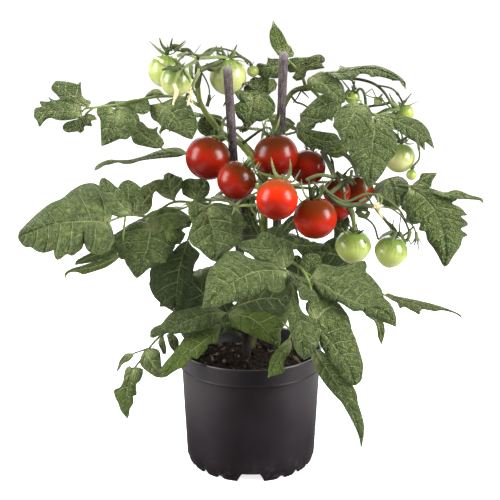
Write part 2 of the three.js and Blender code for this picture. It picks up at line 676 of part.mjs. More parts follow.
const fruits = { ...RED_FRUIT, ...GREEN_FRUIT };
for (const [name, [stalk, carried]] of Object.entries(TRUSSES)) {
  const truss = trussSolid(stalk, carried, fruits).subtract(grownStem);
  plant.add(piece(name, geometryOf(largestBody(truss)), looks.truss));
}
plant.add(...fruitMeshes(RED_FRUIT, looks.ripe), ...fruitMeshes(GREEN_FRUIT, looks.unripe));

export default plant;
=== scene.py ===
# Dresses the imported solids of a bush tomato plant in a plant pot: fine leaflets with puckers and
# veins, glossy fruit with curled sepals, crumbly soil, a satin pot and two mottled stakes.
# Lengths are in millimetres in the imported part's frame, and turn into metres as a mesh is made.
import math

import bpy
import numpy as np
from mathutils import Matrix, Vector


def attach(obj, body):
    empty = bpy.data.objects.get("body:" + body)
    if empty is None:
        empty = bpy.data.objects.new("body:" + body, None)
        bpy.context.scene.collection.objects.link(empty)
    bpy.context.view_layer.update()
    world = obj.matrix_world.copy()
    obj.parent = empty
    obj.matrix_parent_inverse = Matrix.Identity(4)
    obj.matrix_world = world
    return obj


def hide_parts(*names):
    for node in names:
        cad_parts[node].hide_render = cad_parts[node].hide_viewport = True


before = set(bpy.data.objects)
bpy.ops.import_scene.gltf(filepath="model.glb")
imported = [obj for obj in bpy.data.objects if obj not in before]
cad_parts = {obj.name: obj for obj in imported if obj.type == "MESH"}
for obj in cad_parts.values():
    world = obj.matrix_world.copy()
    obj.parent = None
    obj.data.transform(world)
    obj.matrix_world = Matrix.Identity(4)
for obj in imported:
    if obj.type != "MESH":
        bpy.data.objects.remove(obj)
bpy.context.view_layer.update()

MM = 0.001
BODY = "root"
MAP_NAME = "Leaf"

# Camera
CAMERA_PLACE = (-0.8, -900, 424)
CAMERA_TARGET = (-0.8, 0, 217.7)
SENSOR_WIDTH = 36
LENS = 67.3

# Softboxes, aimed at one place: their own place, width, height and power in watts
SOFTBOX_TARGET = (0, 0, 240)
SOFTBOXES = {
    "softbox_left": ((-1330, -400, 780), 760, 1200, 42),
    "softbox_right": ((1210, -600, 780), 600, 900, 44),
    "softbox_top": ((0, 0, 1700), 1500, 1100, 16),
    "softbox_back": ((0, 1300, 1000), 900, 700, 9),
}

# Strength of the studio's light from its front and from its back, on matt and on glossy surfaces, and
# where in the direction from front to back the one turns into the other
MATT_FILL = (0.9, 0.5)
MATT_SWEEP = (-0.6, 0.7)
GLOSSY_FILL = (0.0, 2.4)
GLOSSY_SWEEP = (0.1, 0.95)
BACKGROUND_SEEN = 1.05

# How pale the floor is to matt surfaces, and to glossy ones outside and inside a ring round the pot
MATT_FLOOR = 0.42
GLOSSY_FLOOR = (0.02, 0.5)
FLOOR_REACH = 6

# Pot: turned profile from the foot up the outside, over the rim and down the inside
POT_OUTSIDE = [
    (62.2, 0), (62.9, 0.7), (63.6, 1.8), (64.0, 3.4), (64.2, 5.4), (64.3, 6.9), (65.3, 7.3), (65.5, 7.8),
    (65.7, 13), (66.05, 20), (67.25, 45), (68.45, 70),
    (69.75, 98.4), (69.9, 99.4), (70.9, 99.8), (71.25, 100.3), (71.25, 101.1), (70.95, 101.8),
    (71.0, 103.4), (71.35, 114.6), (71.5, 116.6), (71.45, 117.4), (71.1, 117.9), (70.5, 118.0),
]
POT_INSIDE = [
    (69.9, 117.9), (69.4, 117.3), (69.3, 116.0), (68.9, 104), (68.1, 99.6), (63.6, 12.9), (62.1, 11.4),
    (62.3, 9.6), (61.9, 4), (60.4, 0),
]
POT_SIDES = 432
POT_STEP = 6
FLOOR_HEIGHT = 9.6
FLOOR_THICKNESS = 1.8
FLOOR_RADIUS = 62.7
DRAIN_RADIUS = 4.5
DRAIN_CIRCLE = 40
DRAIN_COUNT = 8
ARCH_HALF_WIDTH = 13
ARCH_FLAT_HALF_WIDTH = 8.4
ARCH_HEIGHT = 9.3
NOTCH_HALF_WIDTH = 5
NOTCH_SLOPE = 3.4
NOTCHES = ((28, 3.7), (45, 5.0), (62, 3.7))

# Soil
SOIL_RADIUS = 67.5
SOIL_LOW_RADIUS = 63.0
SOIL_FLOOR = 11.7
SOIL_EDGE_HEIGHT = 101
SOIL_MOUND_HEIGHT = 110
SOIL_RINGS = 46
SOIL_SIDES = 150
SOIL_SKIRT = [(SOIL_RADIUS, 97), (SOIL_LOW_RADIUS, 14), (SOIL_LOW_RADIUS - 2, SOIL_FLOOR)]
CRUMBS = 900
CRUMB_RINGS = 5
CRUMB_SIDES = 7

# Stakes: lengths of the rounded tip and of the worn one, how far the wear goes, and the two axes
STAKE_RADIUS = 4.3
STAKE_SIDES = 28
STAKE_CROWN = 4.2
STAKE_WORN = 9
STAKE_WEAR = 0.7
STAKES = {
    "stake_left": ((2, 0, 16), (-22, -16, 397)),
    "stake_right": ((19, 20, 16), (31, -2, 410)),
}

# Stem: routes, each with its radius at the start and at the end
STEM_ROUTES = [
    ([(-2, 20, 60), (0, 20, 108), (6, 18, 161), (13, 15, 237), (11, 15, 280), (7, 14, 313)], 5.5, 3.2),
    ([(9, 14, 296), (-11, 10, 322), (-26, 5, 331), (-48, 0, 361), (-51, 0, 381)], 3.2, 2.4),
    ([(12, 15, 270), (20, 20, 324), (31, 18, 355), (41, 19, 371), (58, 18, 377)], 3.4, 2.2),
]

# Leaves that the front view shows: route of the leaf's own stalk, and its leaflets as
# (place along the stalk, tip, width, direction it faces, bow, tone from shaded 0 to sunlit 1)
LEAVES = {
    "low_left": ([(-1, 18, 121), (-15, 2, 131), (-26, -10, 142), (-22, -22, 159)], [
        (1, (-98, -52, 142), 40, (0, -0.8, 1), 0.12, 0.55),
        (0.98, (26, -42, 130), 40, (0, -0.6, 1), 0.1, 0.95),
        (0.94, (-88, -76, 104), 27, (-0.3, -0.8, 0.7), 0.08, 0.95),
        (0.6, (-60, -6, 180), 30, (0, -1, 0.2), 0.04, 0.08),
        (0.9, (14, -20, 160), 30, (0, -1, 0.5), 0.04, 0.12),
        (0.4, (-72, 16, 124), 30, (0, -1, 0.2), 0.03, 0.0),
    ]),
    "low_far_left": ([(-3, 20, 130), (-46, 4, 138), (-86, -14, 136), (-114, -34, 107)], [
        (1, (-123, -44, 58), 30, (0, -1, 0.4), 0.05, 0.7),
        (0.86, (-83, -50, 102), 20, (0, -1, 0.5), 0.06, 0.6),
        (0.82, (-134, -28, 100), 16, (0, -0.6, 1), 0.1, 0.6),
        (0.66, (-88, 0, 110), 10, (0, -1, 0.2), 0.05, 0.6),
        (0.58, (-75, 6, 109), 11, (0, -1, 0.2), 0.05, 0.6),
    ]),
    "rim_right": ([(4, 18, 141), (29, -20, 150), (40, -46, 148)], [
        (1, (15, -90, 118), 18, (-0.2, -1, 0.6), 0.06, 0.95),
    ]),
    "front_left": ([(9, 16, 198), (20, -45, 216), (27, -80, 217)], [
        (1, (-43, -112, 190), 56, (0, -1, 0.9), 0.08, 0.5),
        (0.96, (10, -66, 251), 50, (0, -1, 0.35), 0.06, 0.45),
        (0.98, (44, -118, 143), 32, (-0.3, -1, 0.2), 0.05, 0.55),
        (0.94, (38, -86, 196), 18, (0, -1, 0.5), 0.04, 0.5),
    ]),
    "front_right": ([(11, 16, 212), (37, -45, 218), (51, -82, 211), (58, -96, 176)], [
        (0.62, (130, -98, 170), 54, (0.2, -1, 0.8), 0.08, 0.45),
        (0.6, (47, -62, 231), 22, (0, -1, 0.3), 0.05, 0.45),
        (0.68, (122, -80, 148), 22, (0.2, -1, 0.4), 0.05, 0.6),
        (1, (91, -116, 118), 58, (0.3, -1, 0.4), 0.06, 0.4),
        (0.92, (100, -110, 56), 34, (-0.3, -1, 0.5), 0.03, 0.62),
        (0.68, (40, -90, 214), 12, (0, -1, 0.3), 0.02, 0.25),
    ]),
    "mid_left": ([(11, 12, 243), (-35, 2, 259), (-73, -18, 269), (-95, -36, 259), (-116, -50, 262),
                  (-131, -55, 257)], [
        (1, (-218, -38, 244), 74, (0, -1, 0.8), 0.08, 0.4),
        (0.96, (-138, -44, 296), 30, (0, -1, 0.3), 0.05, 0.5),
        (0.88, (-115, -34, 294), 34, (0, -1, 0.3), 0.05, 0.5),
        (0.82, (-94, -22, 287), 20, (0, -1, 0.3), 0.05, 0.45),
        (0.9, (-176, -26, 202), 46, (0, -1, 0.4), 0.06, 0.95),
        (0.66, (-104, -64, 206), 56, (0, -1, 0.7), 0.07, 0.55),
        (0.5, (-82, -2, 297), 34, (0, -1, 0.3), 0.05, 0.35),
        (0.42, (-43, -6, 284), 30, (0, -1, 0.3), 0.05, 0.3),
        (0.9, (-178, -32, 196), 30, (0, -1, 0.4), 0.05, 1.0),
    ]),
    "mid_centre": ([(12, 15, 261), (-4, -32, 268), (-40, -46, 269), (-52, -28, 258)], [
        (0.76, (-24, -76, 222), 52, (0, -1, 0.6), 0.07, 0.42),
        (1, (-74, -18, 159), 56, (0, -1, 0.2), 0.05, 0.12),
        (0.2, (-4, 0, 230), 24, (0, -1, 0.2), 0.04, 0.1),
    ]),
    "upper_left": ([(-48, 0, 358), (-62, -12, 367), (-83, -20, 369), (-104, -26, 366), (-124, -32, 362),
                    (-152, -38, 359)], [
        (1, (-195, -46, 350), 44, (0, -1, 0.7), 0.08, 0.5),
        (0.96, (-176, -30, 382), 34, (0, -1, 0.4), 0.05, 0.5),
        (0.93, (-157, -34, 336), 30, (0, -1, 0.2), 0.05, 0.45),
        (0.72, (-134, -50, 326), 48, (0, -1, 0.4), 0.06, 0.5),
        (0.42, (-60, -42, 332), 50, (0, -1, 0.5), 0.06, 0.55),
        (0.36, (-137, -14, 364), 16, (0, -0.7, 1), 0.04, 0.45),
    ]),
    "upper_left_low": ([(-25, 6, 328), (-42, 10, 315), (-63, 8, 312), (-85, 4, 317)], [
        (1, (-111, 0, 334), 28, (0, -1, 0.6), 0.06, 0.35),
        (0.6, (-155, 16, 295), 26, (0, -0.4, 1), 0.08, 0.4),
        (0.15, (-51, 4, 344), 20, (0, -1, 0.3), 0.05, 0.3),
    ]),
    "top_up": ([(53, 20, 374), (51, 18, 382), (43, 14, 394), (32, 10, 404)], [
        (1, (21, 8, 437), 22, (0.2, -1, -0.1), 0.05, 0.85),
        (0.5, (68, 4, 404), 32, (0, -1, 0.4), 0.05, 0.5),
        (0.8, (11, 20, 398), 18, (0, -1, 0.6), 0.05, 0.4),
    ]),
    "centre_top": ([(24, 19, 338), (12, 14, 356), (4, 2, 368)], [
        (1, (-4, -12, 338), 42, (0, -1, 0.5), 0.08, 0.5),
        (0.95, (-17, -6, 372), 18, (0, -1, 0.5), 0.05, 0.5),
        (0.9, (18, 14, 388), 26, (0, -1, 0.4), 0.05, 0.4),
    ]),
    "right_top": ([(56, 18, 377), (62, 6, 387), (73, 0, 390)], [
        (1, (146, -14, 378), 26, (0, -0.5, 1), 0.1, 0.45),
        (0.7, (85, -26, 365), 44, (0, -1, 0.6), 0.06, 0.5),
    ]),
    "right_mid": ([(54, 18, 375), (74, -4, 370), (101, -34, 366)], [
        (1, (84, -70, 330), 44, (0, -1, 0.5), 0.06, 0.5),
        (0.6, (46, -14, 354), 20, (0, -1, 0.7), 0.05, 0.4),
    ]),
    "right_hang": ([(56, 18, 376), (84, 20, 352), (112, 4, 352), (118, -30, 352)], [
        (1, (109, -66, 288), 46, (0, -1, 0.3), 0.06, 0.5),
        (0.95, (172, -24, 320), 36, (0, -1, 0.8), 0.08, 0.5),
        (0.6, (70, 0, 326), 14, (0, -1, 0.4), 0.05, 0.95),
    ]),
    "right_far": ([(13, 16, 275), (70, 34, 280), (123, 16, 281), (152, -8, 283)], [
        (1, (186, -40, 210), 72, (0, -1, 0.8), 0.06, 0.58),
        (1, (178, -6, 297), 24, (0, -1, 0.3), 0.05, 0.45),
        (0.98, (218, -30, 264), 14, (0, -0.6, 1), 0.05, 0.5),
        (0.86, (140, -22, 264), 34, (0, -1, 0.3), 0.05, 0.45),
    ]),
    "right_back": ([(20, 20, 326), (40, 26, 330), (56, 30, 334)], [
        (1, (92, 34, 312), 34, (0, -1, 0.6), 0.06, 0.3),
        (0.8, (84, 58, 343), 26, (0, -0.6, 1), 0.06, 0.3),
    ]),
    "right_low": ([(13, 16, 206), (71, 34, 191), (134, 22, 168)], [
        (1, (212, 6, 146), 24, (0, -0.6, 1), 0.06, 0.5),
        (0.66, (116, 40, 196), 34, (0, -1, 0.5), 0.06, 0.35),
        (0.6, (91, 20, 161), 24, (0, -1, 0.5), 0.05, 0.35),
        (0.3, (44, 20, 226), 20, (0, -1, 0.2), 0.04, 0.1),
        (0.35, (86, 20, 250), 14, (0, -1, 0.2), 0.04, 0.15),
    ]),
    "inner": ([(12, 15, 229), (20, -8, 228), (36, -14, 226)], [
        (1, (72, -18, 228), 18, (0, -1, 0.5), 0.06, 0.25),
        (0.6, (30, -26, 248), 14, (0, -1, 0.4), 0.05, 0.25),
        (0.5, (50, -10, 262), 12, (0, -1, 0.3), 0.04, 0.15),
        (0.8, (62, -14, 236), 12, (0, -1, 0.3), 0.04, 0.2),
        (0.4, (46, -10, 226), 16, (0, -1, 0.2), 0.04, 0.02),
    ]),
}

# Leaves round the back: root height on the stem, compass angle, reach, end height, size
BACK_LEAVES = {
    "back_left": (252, 150, 98, 245, 1),
    "back_left_low": (176, 122, 88, 176, 1),
    "back_middle": (268, 96, 70, 262, 1),
    "back_right_low": (212, 56, 82, 206, 1),
    "back_left_top": (308, 140, 84, 350, 0.8),
    "back_right_top": (304, 76, 78, 344, 0.8),
    "back_rim": (130, 84, 80, 152, 0.9),
}
# place along the stalk, turn from the stalk's heading, length, drop, width
BACK_LEAFLETS = [(1, 0, 52, 30, 40), (0.82, 62, 44, 16, 32), (0.76, -62, 44, 16, 32), (0.5, 70, 32, 4, 19),
                 (0.42, -70, 32, 4, 19)]

# Fruit: centre, radius, direction of the stem end, tone from dark 0 to bright 1
RED_FRUIT = {
    "red_1": ((-40, -30, 313), 20.3, (0.45, 0.2, 0.85), 0.35),
    "red_2": ((-13, -64, 297), 17, (0.55, 0, 0.8), 0.34),
    "red_3": ((23, -38, 316), 20, (-0.2, 0.1, 1), 0.3),
    "red_4": ((23, -90, 284), 18.1, (0.2, 0.5, 0.9), 0.85),
    "red_5": ((58, -72, 264), 18.9, (-0.05, 0, 1), 0.5),
    "red_6": ((54, -14, 302), 16.7, (0.2, 0.3, 0.9), 0.4),
    "red_7": ((82, -18, 279), 12.9, (0, -0.1, 1), 0.3),
    "red_8": ((105, 4, 277), 14.7, (-0.1, -0.2, 1), 0.3),
    "red_9": ((87, 12, 257), 11.8, (0, 0, 1), 0.4),
}
GREEN_FRUIT = {
    "green_1": ((-81, -2, 392), 16, (0.1, 0.1, 1), 0.5),
    "green_2": ((-68, -38, 384), 14.1, (0.1, -0.5, 0.8), 0.7),
    "green_3": ((-22, 14, 386), 18.1, (-0.2, 0, 1), 0.7),
    "green_4": ((2, 12, 391), 5.7, (-0.3, 0, 1), 0.5),
    "green_5": ((97, 4, 367), 7.2, (0.2, 0, 1), 0.3),
    "green_6": ((148, 4, 352), 8.6, (-0.3, 0, 1), 0.3),
    "green_7": ((143, -4, 310), 14.9, (0.1, 0, 1), 0.8),
    "green_8": ((153, -16, 295), 5.2, (0.1, 0.1, 1), 0.4),
    "green_9": ((96, -44, 231), 16.9, (0, -0.1, 1), 0.5),
    "green_10": ((131, -48, 227), 15.9, (0.2, -0.1, 1), 0.5),
}
FRUIT_RINGS = 44
FRUIT_SIDES = 64
FRUIT_HEIGHT = 0.99
SHOULDER_LOBES = 0.016
WHOLE_LOBES = 0.012
SWELL = {"ripe_fruit": 1.03, "unripe_fruit": 0.99}
DIMPLE_DEPTH = 0.14
DIMPLE_WIDTH = 0.3
FRUIT_TAPER = {"green_9": 0.2, "green_10": 0.2}

# Trusses: route of the stalk, then for each fruit the points its own stalk passes on the way
TRUSSES = {
    "truss_left": ([(-9, 10, 321), (6, 2, 333), (14, -18, 340)], [
        ("red_3", [(14, -18, 340)]),
    ]),
    "truss_outer": ([(-26, 5, 331), (-30, -8, 336), (-32, -18, 338)], [
        ("red_1", [(-32, -18, 338)]),
    ]),
    "truss_right": ([(12, 15, 270), (16, -20, 284), (38, -48, 288), (66, -62, 287), (86, -56, 276),
                     (106, -50, 282), (122, -48, 278), (138, -46, 266), (148, -46, 246)], [
        ("red_2", [(16, -20, 284), (5, -44, 300)]),
        ("red_4", [(38, -48, 288)]),
        ("red_5", [(66, -62, 287)]),
        ("red_6", [(66, -62, 287), (78, -32, 300), (70, -12, 320)]),
        ("red_7", [(86, -56, 276), (84, -38, 290)]),
        ("red_8", [(106, -50, 282), (106, -22, 294)]),
        ("red_9", [(106, -22, 294), (98, 10, 298), (89, 16, 284)]),
        ("green_9", [(86, -56, 276), (92, -52, 262)]),
        ("green_10", [(106, -50, 282), (118, -50, 264)]),
    ]),
    "truss_top_left": ([(-51, 0, 379), (-52, 2, 394), (-50, 4, 403)], [
        ("green_1", [(-50, 4, 403), (-66, 0, 410)]),
        ("green_2", [(-50, 4, 403), (-58, -20, 408)]),
        ("green_3", [(-50, 4, 403), (-38, 10, 411)]),
        ("green_4", [(-50, 4, 403), (-38, 12, 412), (-20, 26, 410), (-8, 16, 404)]),
    ]),
    "truss_top_right": ([(58, 18, 377), (90, 16, 384), (120, 10, 378), (135, 6, 360), (141, 0, 340)], [
        ("green_5", [(90, 16, 384), (97, 8, 382)]),
        ("green_6", [(120, 10, 378), (136, 6, 374)]),
        ("green_7", [(135, 6, 360), (141, 0, 340)]),
        ("green_8", [(141, 0, 340), (158, -6, 326), (160, -14, 310)]),
    ]),
}

# Thin parts that the front view shows on each truss, as (look, route drawn in the frame, depth at both
# ends, radius at both ends). The light look is a paler copy of the green skin, painted light on parts that
# stand in the light; the darker sepal look, used on drawn parts in shade, is painted shade there.
STRANDS = {
    "truss_outer": [
        ("sepal", "218,139 222,136 226,139 230,145", (-36, -44), (1.7, 0.5)),
        ("sepal", "219,139 214,136 209,136", (-34, -38), (1.5, 0.4)),
        ("light", "223,137 222,130 223,122 226,117", (-20, -10), (1.8, 1.4)),
        ("sepal", "217,138 220,133 227,134 229,128", (-30, -24), (1.4, 0.5)),
    ],
    "truss_left": [
        ("sepal", "268,138 265,132 263,125 262,121", (-34, -28), (1.3, 0.4)),
        ("stalk", "269,139 267,131 267,123", (-34, -22), (0.9, 0.3)),
        ("light", "275,136 277,128 279,120 280,115", (-36, -30), (1.5, 0.5)),
        ("sepal", "272,137 279,133 283,134", (-38, -46), (1.1, 0.4)),
        ("stalk", "236,128.5 241.5,128.8", (-14, -14), (0.8, 0.6)),
        ("stalk", "229,99 225,103 223.5,106.5", (-12, -12), (1.2, 0.6)),
        ("stalk", "291,92 300,90 307,90 315,88", (14, 18), (1.3, 1.1)),
        ("stalk", "292,97 296,102 302,104 309,108", (14, 24), (1.1, 0.9)),
        ("stalk", "301,91 297,98 293,103", (14, 14), (0.8, 0.6)),
        ("stalk", "302,91 306,95 309,98", (14, 14), (0.8, 0.5)),
    ],
    "truss_right": [
        ("light", "249,157 248,163 247,172", (-56, -66), (1.4, 2.6)),
        ("sepal", "246,172 250,166 254,161 257,159", (-66, -78), (1.8, 0.3)),
        ("sepal", "244,172 241,167 240,163", (-66, -78), (1.6, 0.4)),
        ("light", "247,173 253,170 257,165 259,162", (-68, -78), (1.1, 0.3)),
        ("sepal", "246,174 250,177 256,172 261,163", (-68, -80), (1.1, 0.3)),
        ("light", "281,178 276,175 273,167 271,157", (-86, -88), (1.9, 0.3)),
        ("light", "283,179 288,177 290.5,170 290,159", (-86, -88), (2.0, 0.3)),
        ("light", "286,181 293,181.5 297,176 300.5,170", (-86, -88), (1.2, 0.3)),
        ("sepal", "279,179 270,176 262,173.5 258,171.5", (-86, -84), (2.0, 0.5)),
        ("sepal", "312,201 310,190 309,182 310,177", (-72, -78), (2.2, 0.4)),
        ("sepal", "315,201 318,193 317,187 312,182", (-74, -80), (2.0, 0.5)),
        ("light", "310,201 305,195 302,187 301.5,179", (-76, -82), (1.1, 0.35)),
        ("light", "318,200 322,194 323.5,186 322.5,179", (-76, -82), (1.1, 0.35)),
        ("light", "313,201 320,195 320,187 314,182", (-78, -82), (0.8, 0.4)),
        ("sepal", "316,201 312,196 313,188 315,186", (-74, -78), (2.2, 1.2)),
        ("sepal", "308,202 304,203 300,200 298,196", (-72, -80), (1.5, 0.4)),
        ("stalk", "306,180 314,176.5 322,175 334,177.5", (-60, -52), (1.5, 1.9)),
        ("stalk", "321,186 328,194 335,201 345,205 359,205 373,206", (-62, -52), (2.6, 2.2)),
        ("stalk", "329,194 338,187 346,180 352,184", (-60, -40), (2.2, 1.5)),
        ("light", "340,174 345,180 350,183", (-44, -44), (0.8, 0.5)),
        ("light", "345,203 345,195 349,190", (-54, -44), (0.8, 0.6)),
        ("sepal", "359,202 367,197.5 373,193.5", (-54, -46), (1.4, 0.9)),
        ("stalk", "322,151 327,160 331,169 335,178", (-30, -46), (2.5, 2.2)),
        ("stalk", "341,152 349,158 355,168 357,177", (-24, -40), (2.3, 1.6)),
        ("sepal", "336,172 342,176 350,178 356,184", (-40, -46), (1.8, 0.8)),
        ("sepal", "352,170 350,178 345,184 340,192", (-38, -46), (1.6, 0.6)),
        ("light", "350,205 353,215 354,225 356,236", (-54, -46), (2.2, 1.9)),
        ("light", "373,206 378,211 390,226 396,232", (-50, -48), (1.5, 1.7)),
        ("stalk", "356,209 368,210", (-50, -50), (2.0, 2.0)),
        ("sepal", "357,210 360,214 366,216 369,211", (-48, -48), (3.0, 2.0)),
        ("stalk", "358,216 367,219 374,226 378,239", (-48, -48), (1.1, 1.0)),
        ("sepal", "355,237 359,233 364,230", (-48, -56), (1.8, 0.6)),
        ("sepal", "353,237 346,234 342,228", (-48, -56), (1.6, 0.5)),
        ("sepal", "354,238 349,241 344,241", (-50, -60), (1.5, 0.4)),
        ("sepal", "356,238 362,239 366,243", (-50, -58), (1.4, 0.4)),
        ("sepal", "395,232 389,233 383,235.5 378,240", (-50, -60), (2.4, 0.6)),
        ("sepal", "396,232 393,239 392,246", (-52, -66), (2.0, 0.5)),
        ("sepal", "398,232 403,238 406.5,244", (-50, -60), (2.2, 0.6)),
        ("stalk", "396,231 393,225 394,219", (-48, -52), (1.0, 0.4)),
        ("stalk", "400,236 399.5,228 401,215", (-48, -48), (0.8, 0.5)),
        ("stalk", "378,206.5 390,208 398,213 406,220 413,226 416,233", (-50, -48), (0.9, 0.8)),
        ("stalk", "401,215 405,222 410,231", (-48, -48), (0.7, 0.7)),
        ("stalk", "413,227 407,233 401,237", (-48, -50), (0.9, 1.3)),
        ("light", "410,231 409,236 407,242", (-48, -48), (2.2, 1.2)),
        ("stalk", "409,240 411,245 410.5,250", (-48, -48), (0.6, 0.25)),
        ("stalk", "408,238 405,240 401,241", (-48, -48), (0.9, 0.5)),
        ("light", "416,232 416.5,236 417,240", (-48, -48), (1.6, 2.4)),
        ("stalk", "415,239 413,242 410.5,244.5", (-48, -50), (0.9, 0.4)),
        ("stalk", "416,240 415,243 413.5,246", (-48, -50), (0.9, 0.4)),
        ("stalk", "418,240 418,245 419,251", (-48, -48), (0.9, 0.3)),
        ("stalk", "419,239 422,244 427,246.5", (-48, -48), (0.5, 0.2)),
        ("petal", "375,203 379,207 380,213 383,218", (-54, -56), (1.8, 0.5)),
        ("petal", "374,205 378,206 382,206", (-54, -56), (1.6, 0.8)),
        ("petal", "371,209 376,207.5 380,209", (-54, -56), (0.6, 0.6)),
        ("light", "376,206 378,199 376.5,193", (-52, -52), (1.5, 0.4)),
        ("light", "379,206 382,200 379,194", (-52, -52), (1.2, 0.4)),
        ("stalk", "270,233 280,227 290,221 298,216.5", (4, -6), (1.7, 1.3)),
        ("stalk", "300,241 297,232 293,222", (-4, -6), (1.2, 0.8)),
        ("stalk", "294,249 300,248 304,252 302,257", (-10, -16), (1.0, 0.7)),
        ("stalk", "298,250 303,256", (-12, -16), (0.8, 0.6)),
        ("light", "300,241 303,237.5 307,236.5", (-12, -20), (0.5, 0.3)),
        ("sepal", "242,199 248,206 254,214 257,221", (-10, -6), (1.2, 0.7)),
        ("light", "251,203 252,210 255,214 256,221", (-12, -8), (1.0, 0.8)),
        ("light", "236,206 232,203.5 230,202", (-80, -82), (1.9, 0.3)),
        ("light", "236,206 239,202.5 241,200", (-80, -82), (1.9, 0.3)),
        ("light", "236,206 234,211 232,215", (-80, -82), (1.7, 0.3)),
        ("light", "236,206 238,210 240,213", (-80, -82), (1.7, 0.3)),
        ("stalk", "236,206 243,202 250,196 258,192", (-79, -40), (1.1, 1.1)),
    ],
    "truss_top_left": [
        ("stalk", "171,47 175,46.5 179,47", (-4, -4), (2.6, 2.4)),
        ("light", "164,53 156,47 149,41", (-6, -12), (0.9, 0.25)),
        ("light", "163,54 157,49 152,44", (-6, -12), (0.8, 0.25)),
        ("sepal", "168,52 162,45 159.5,38", (-6, -12), (1.9, 0.4)),
        ("sepal", "171,51 171,44 172.5,38", (-6, -10), (1.5, 0.4)),
        ("sepal", "174,51 180,45.5 185.5,40.5", (-6, -10), (1.4, 0.3)),
        ("light", "170,51 168,47 167,44.5", (-6, -10), (1.0, 0.3)),
        ("light", "176,51 182,46 186,42", (-4, -2), (0.9, 0.3)),
        ("stalk", "181,50 188,50 193,55 200,57", (-4, -8), (1.8, 2.2)),
        ("light", "177,56 183,54 190,55 196,58", (-18, -10), (1.6, 1.4)),
        ("stalk", "199,57 208,54.5 214,50 219,49", (-6, 8), (2.4, 1.3)),
        ("light", "199,58 212,57.5 221,57 228,58", (-8, 4), (1.8, 1.3)),
        ("stalk", "200,70 207,67 214,64 222,61", (-10, 2), (2.8, 1.8)),
        ("stalk", "206,66 212,69 218,67 222,65", (-6, 2), (3.0, 2.0)),
        ("light", "197,60 189,65 181,68 172,67 163,65 155,58", (-22, -58), (1.8, 0.8)),
        ("petal", "163,62 159,59.5 154,57", (-58, -60), (1.5, 1.0)),
        ("sepal", "181,67 174,68 168,68.5 162,70", (-50, -58), (2.6, 0.8)),
        ("light", "182,67 178,74 175,81 173,86", (-48, -60), (1.8, 0.8)),
        ("sepal", "183,66 184,72 188,78 190,83", (-46, -56), (1.4, 0.4)),
        ("sepal", "180,66 176,61 171,58", (-46, -54), (2.2, 0.5)),
        ("petal", "174,84 176,91 174.5,98 173,105", (-60, -58), (1.8, 0.7)),
        ("petal", "178,89 177,95 175.5,99", (-59, -58), (1.2, 0.6)),
        ("light", "199,72 195,80 192,88 189.5,95", (-16, -34), (1.9, 1.3)),
        ("petal", "190,86 190,93 189,99 187.5,105.5", (-36, -36), (1.5, 0.8)),
        ("petal", "192,90 191,98 193,104", (-34, -34), (1.1, 0.5)),
        ("sepal", "188,93 186,97 184,101", (-36, -36), (1.4, 0.4)),
        ("sepal", "192,88 196,95 198,102", (-30, -22), (1.4, 0.5)),
        ("stalk", "197,63 200,70 199,79 197,88", (-8, 0), (2.0, 2.6)),
        ("stalk", "202,73 206,80 209,88 209.5,96", (-6, -10), (0.8, 0.6)),
        ("stalk", "209.5,95 208.5,101 207,106.5", (-10, -10), (1.6, 1.9)),
        ("light", "215,95 211,99 209,103", (-10, -10), (0.4, 0.8)),
        ("light", "193,55 197,50 201,44.5", (-8, -8), (0.5, 0.2)),
        ("light", "199,69 196,75 191,71", (-14, -30), (1.2, 0.8)),
        ("sepal", "191,66 191,73 193,79", (-14, -20), (2.4, 1.0)),
        ("sepal", "224,58 218,53 216,45.5", (8, 6), (1.8, 0.4)),
        ("sepal", "226,58 223,52 221,46", (8, 6), (1.8, 0.5)),
        ("sepal", "229,58 234,51 237,44.5", (8, 6), (1.9, 0.4)),
        ("light", "231,58 234,54 235,49", (8, 4), (1.7, 0.5)),
        ("stalk", "230,58 238,56.5 243,58 248,64", (10, 12), (1.2, 0.9)),
        ("light", "232,59 238,62 244,66", (6, 4), (1.1, 0.3)),
        ("light", "236,60 241,61 246,62.5", (6, 6), (0.7, 0.2)),
        ("sepal", "222,59 217,63 213,69", (6, -4), (1.6, 0.5)),
    ],
    "truss_top_right": [
        ("light", "349,89 345,84 340,78", (2, 0), (0.9, 0.3)),
        ("sepal", "353,91 354,85 355,80", (0, 0), (1.4, 0.3)),
        ("sepal", "350,90 346,94 344,99", (0, -4), (2.2, 0.6)),
        ("stalk", "357,93 358,90 361,89 364,93 366,105", (-2, -2), (1.2, 1.5)),
        ("light", "365,94 369,91 372,89 375,95 377,98", (-2, -4), (0.5, 0.5)),
        ("light", "366,95 371,97 378,98 387,98", (-2, -4), (0.6, 0.3)),
        ("light", "374,101 378,101 382,101", (-4, -4), (4.2, 3.6)),
        ("sepal", "379,98 381,96 382.5,94", (-6, -6), (1.3, 0.7)),
        ("sepal", "381,98 385,103 392,109", (-6, -6), (0.9, 0.6)),
        ("stalk", "367,107 375,105.5 383,104.5 391,102", (-2, -2), (1.3, 1.5)),
        ("stalk", "371,115 378,114 386,110 397,109", (-4, 0), (1.6, 2.0)),
        ("stalk", "375,118 384,117 395,112", (-4, 0), (1.0, 1.2)),
        ("sepal", "398,108 393,101 389,93.5", (0, -4), (1.8, 0.4)),
        ("sepal", "398,108 393,104 390,102", (-2, -6), (2.4, 1.0)),
        ("sepal", "401,107 406,100 411.5,93.5", (0, -2), (1.4, 0.3)),
        ("light", "402,108 410,105 419,101", (0, -2), (0.9, 0.25)),
        ("stalk", "399,107 399.5,104 398.5,101.5", (0, 0), (0.9, 0.5)),
        ("sepal", "400,109 394,110 387,111", (-4, -8), (2.0, 0.8)),
        ("stalk", "392,80 400,80 404.5,82 405.5,89", (-6, -8), (0.7, 0.5)),
        ("sepal", "400,141 396,134.5 393,131", (-8, -12), (1.7, 0.5)),
        ("light", "399,141 398,136 398,131", (-8, -10), (1.3, 0.5)),
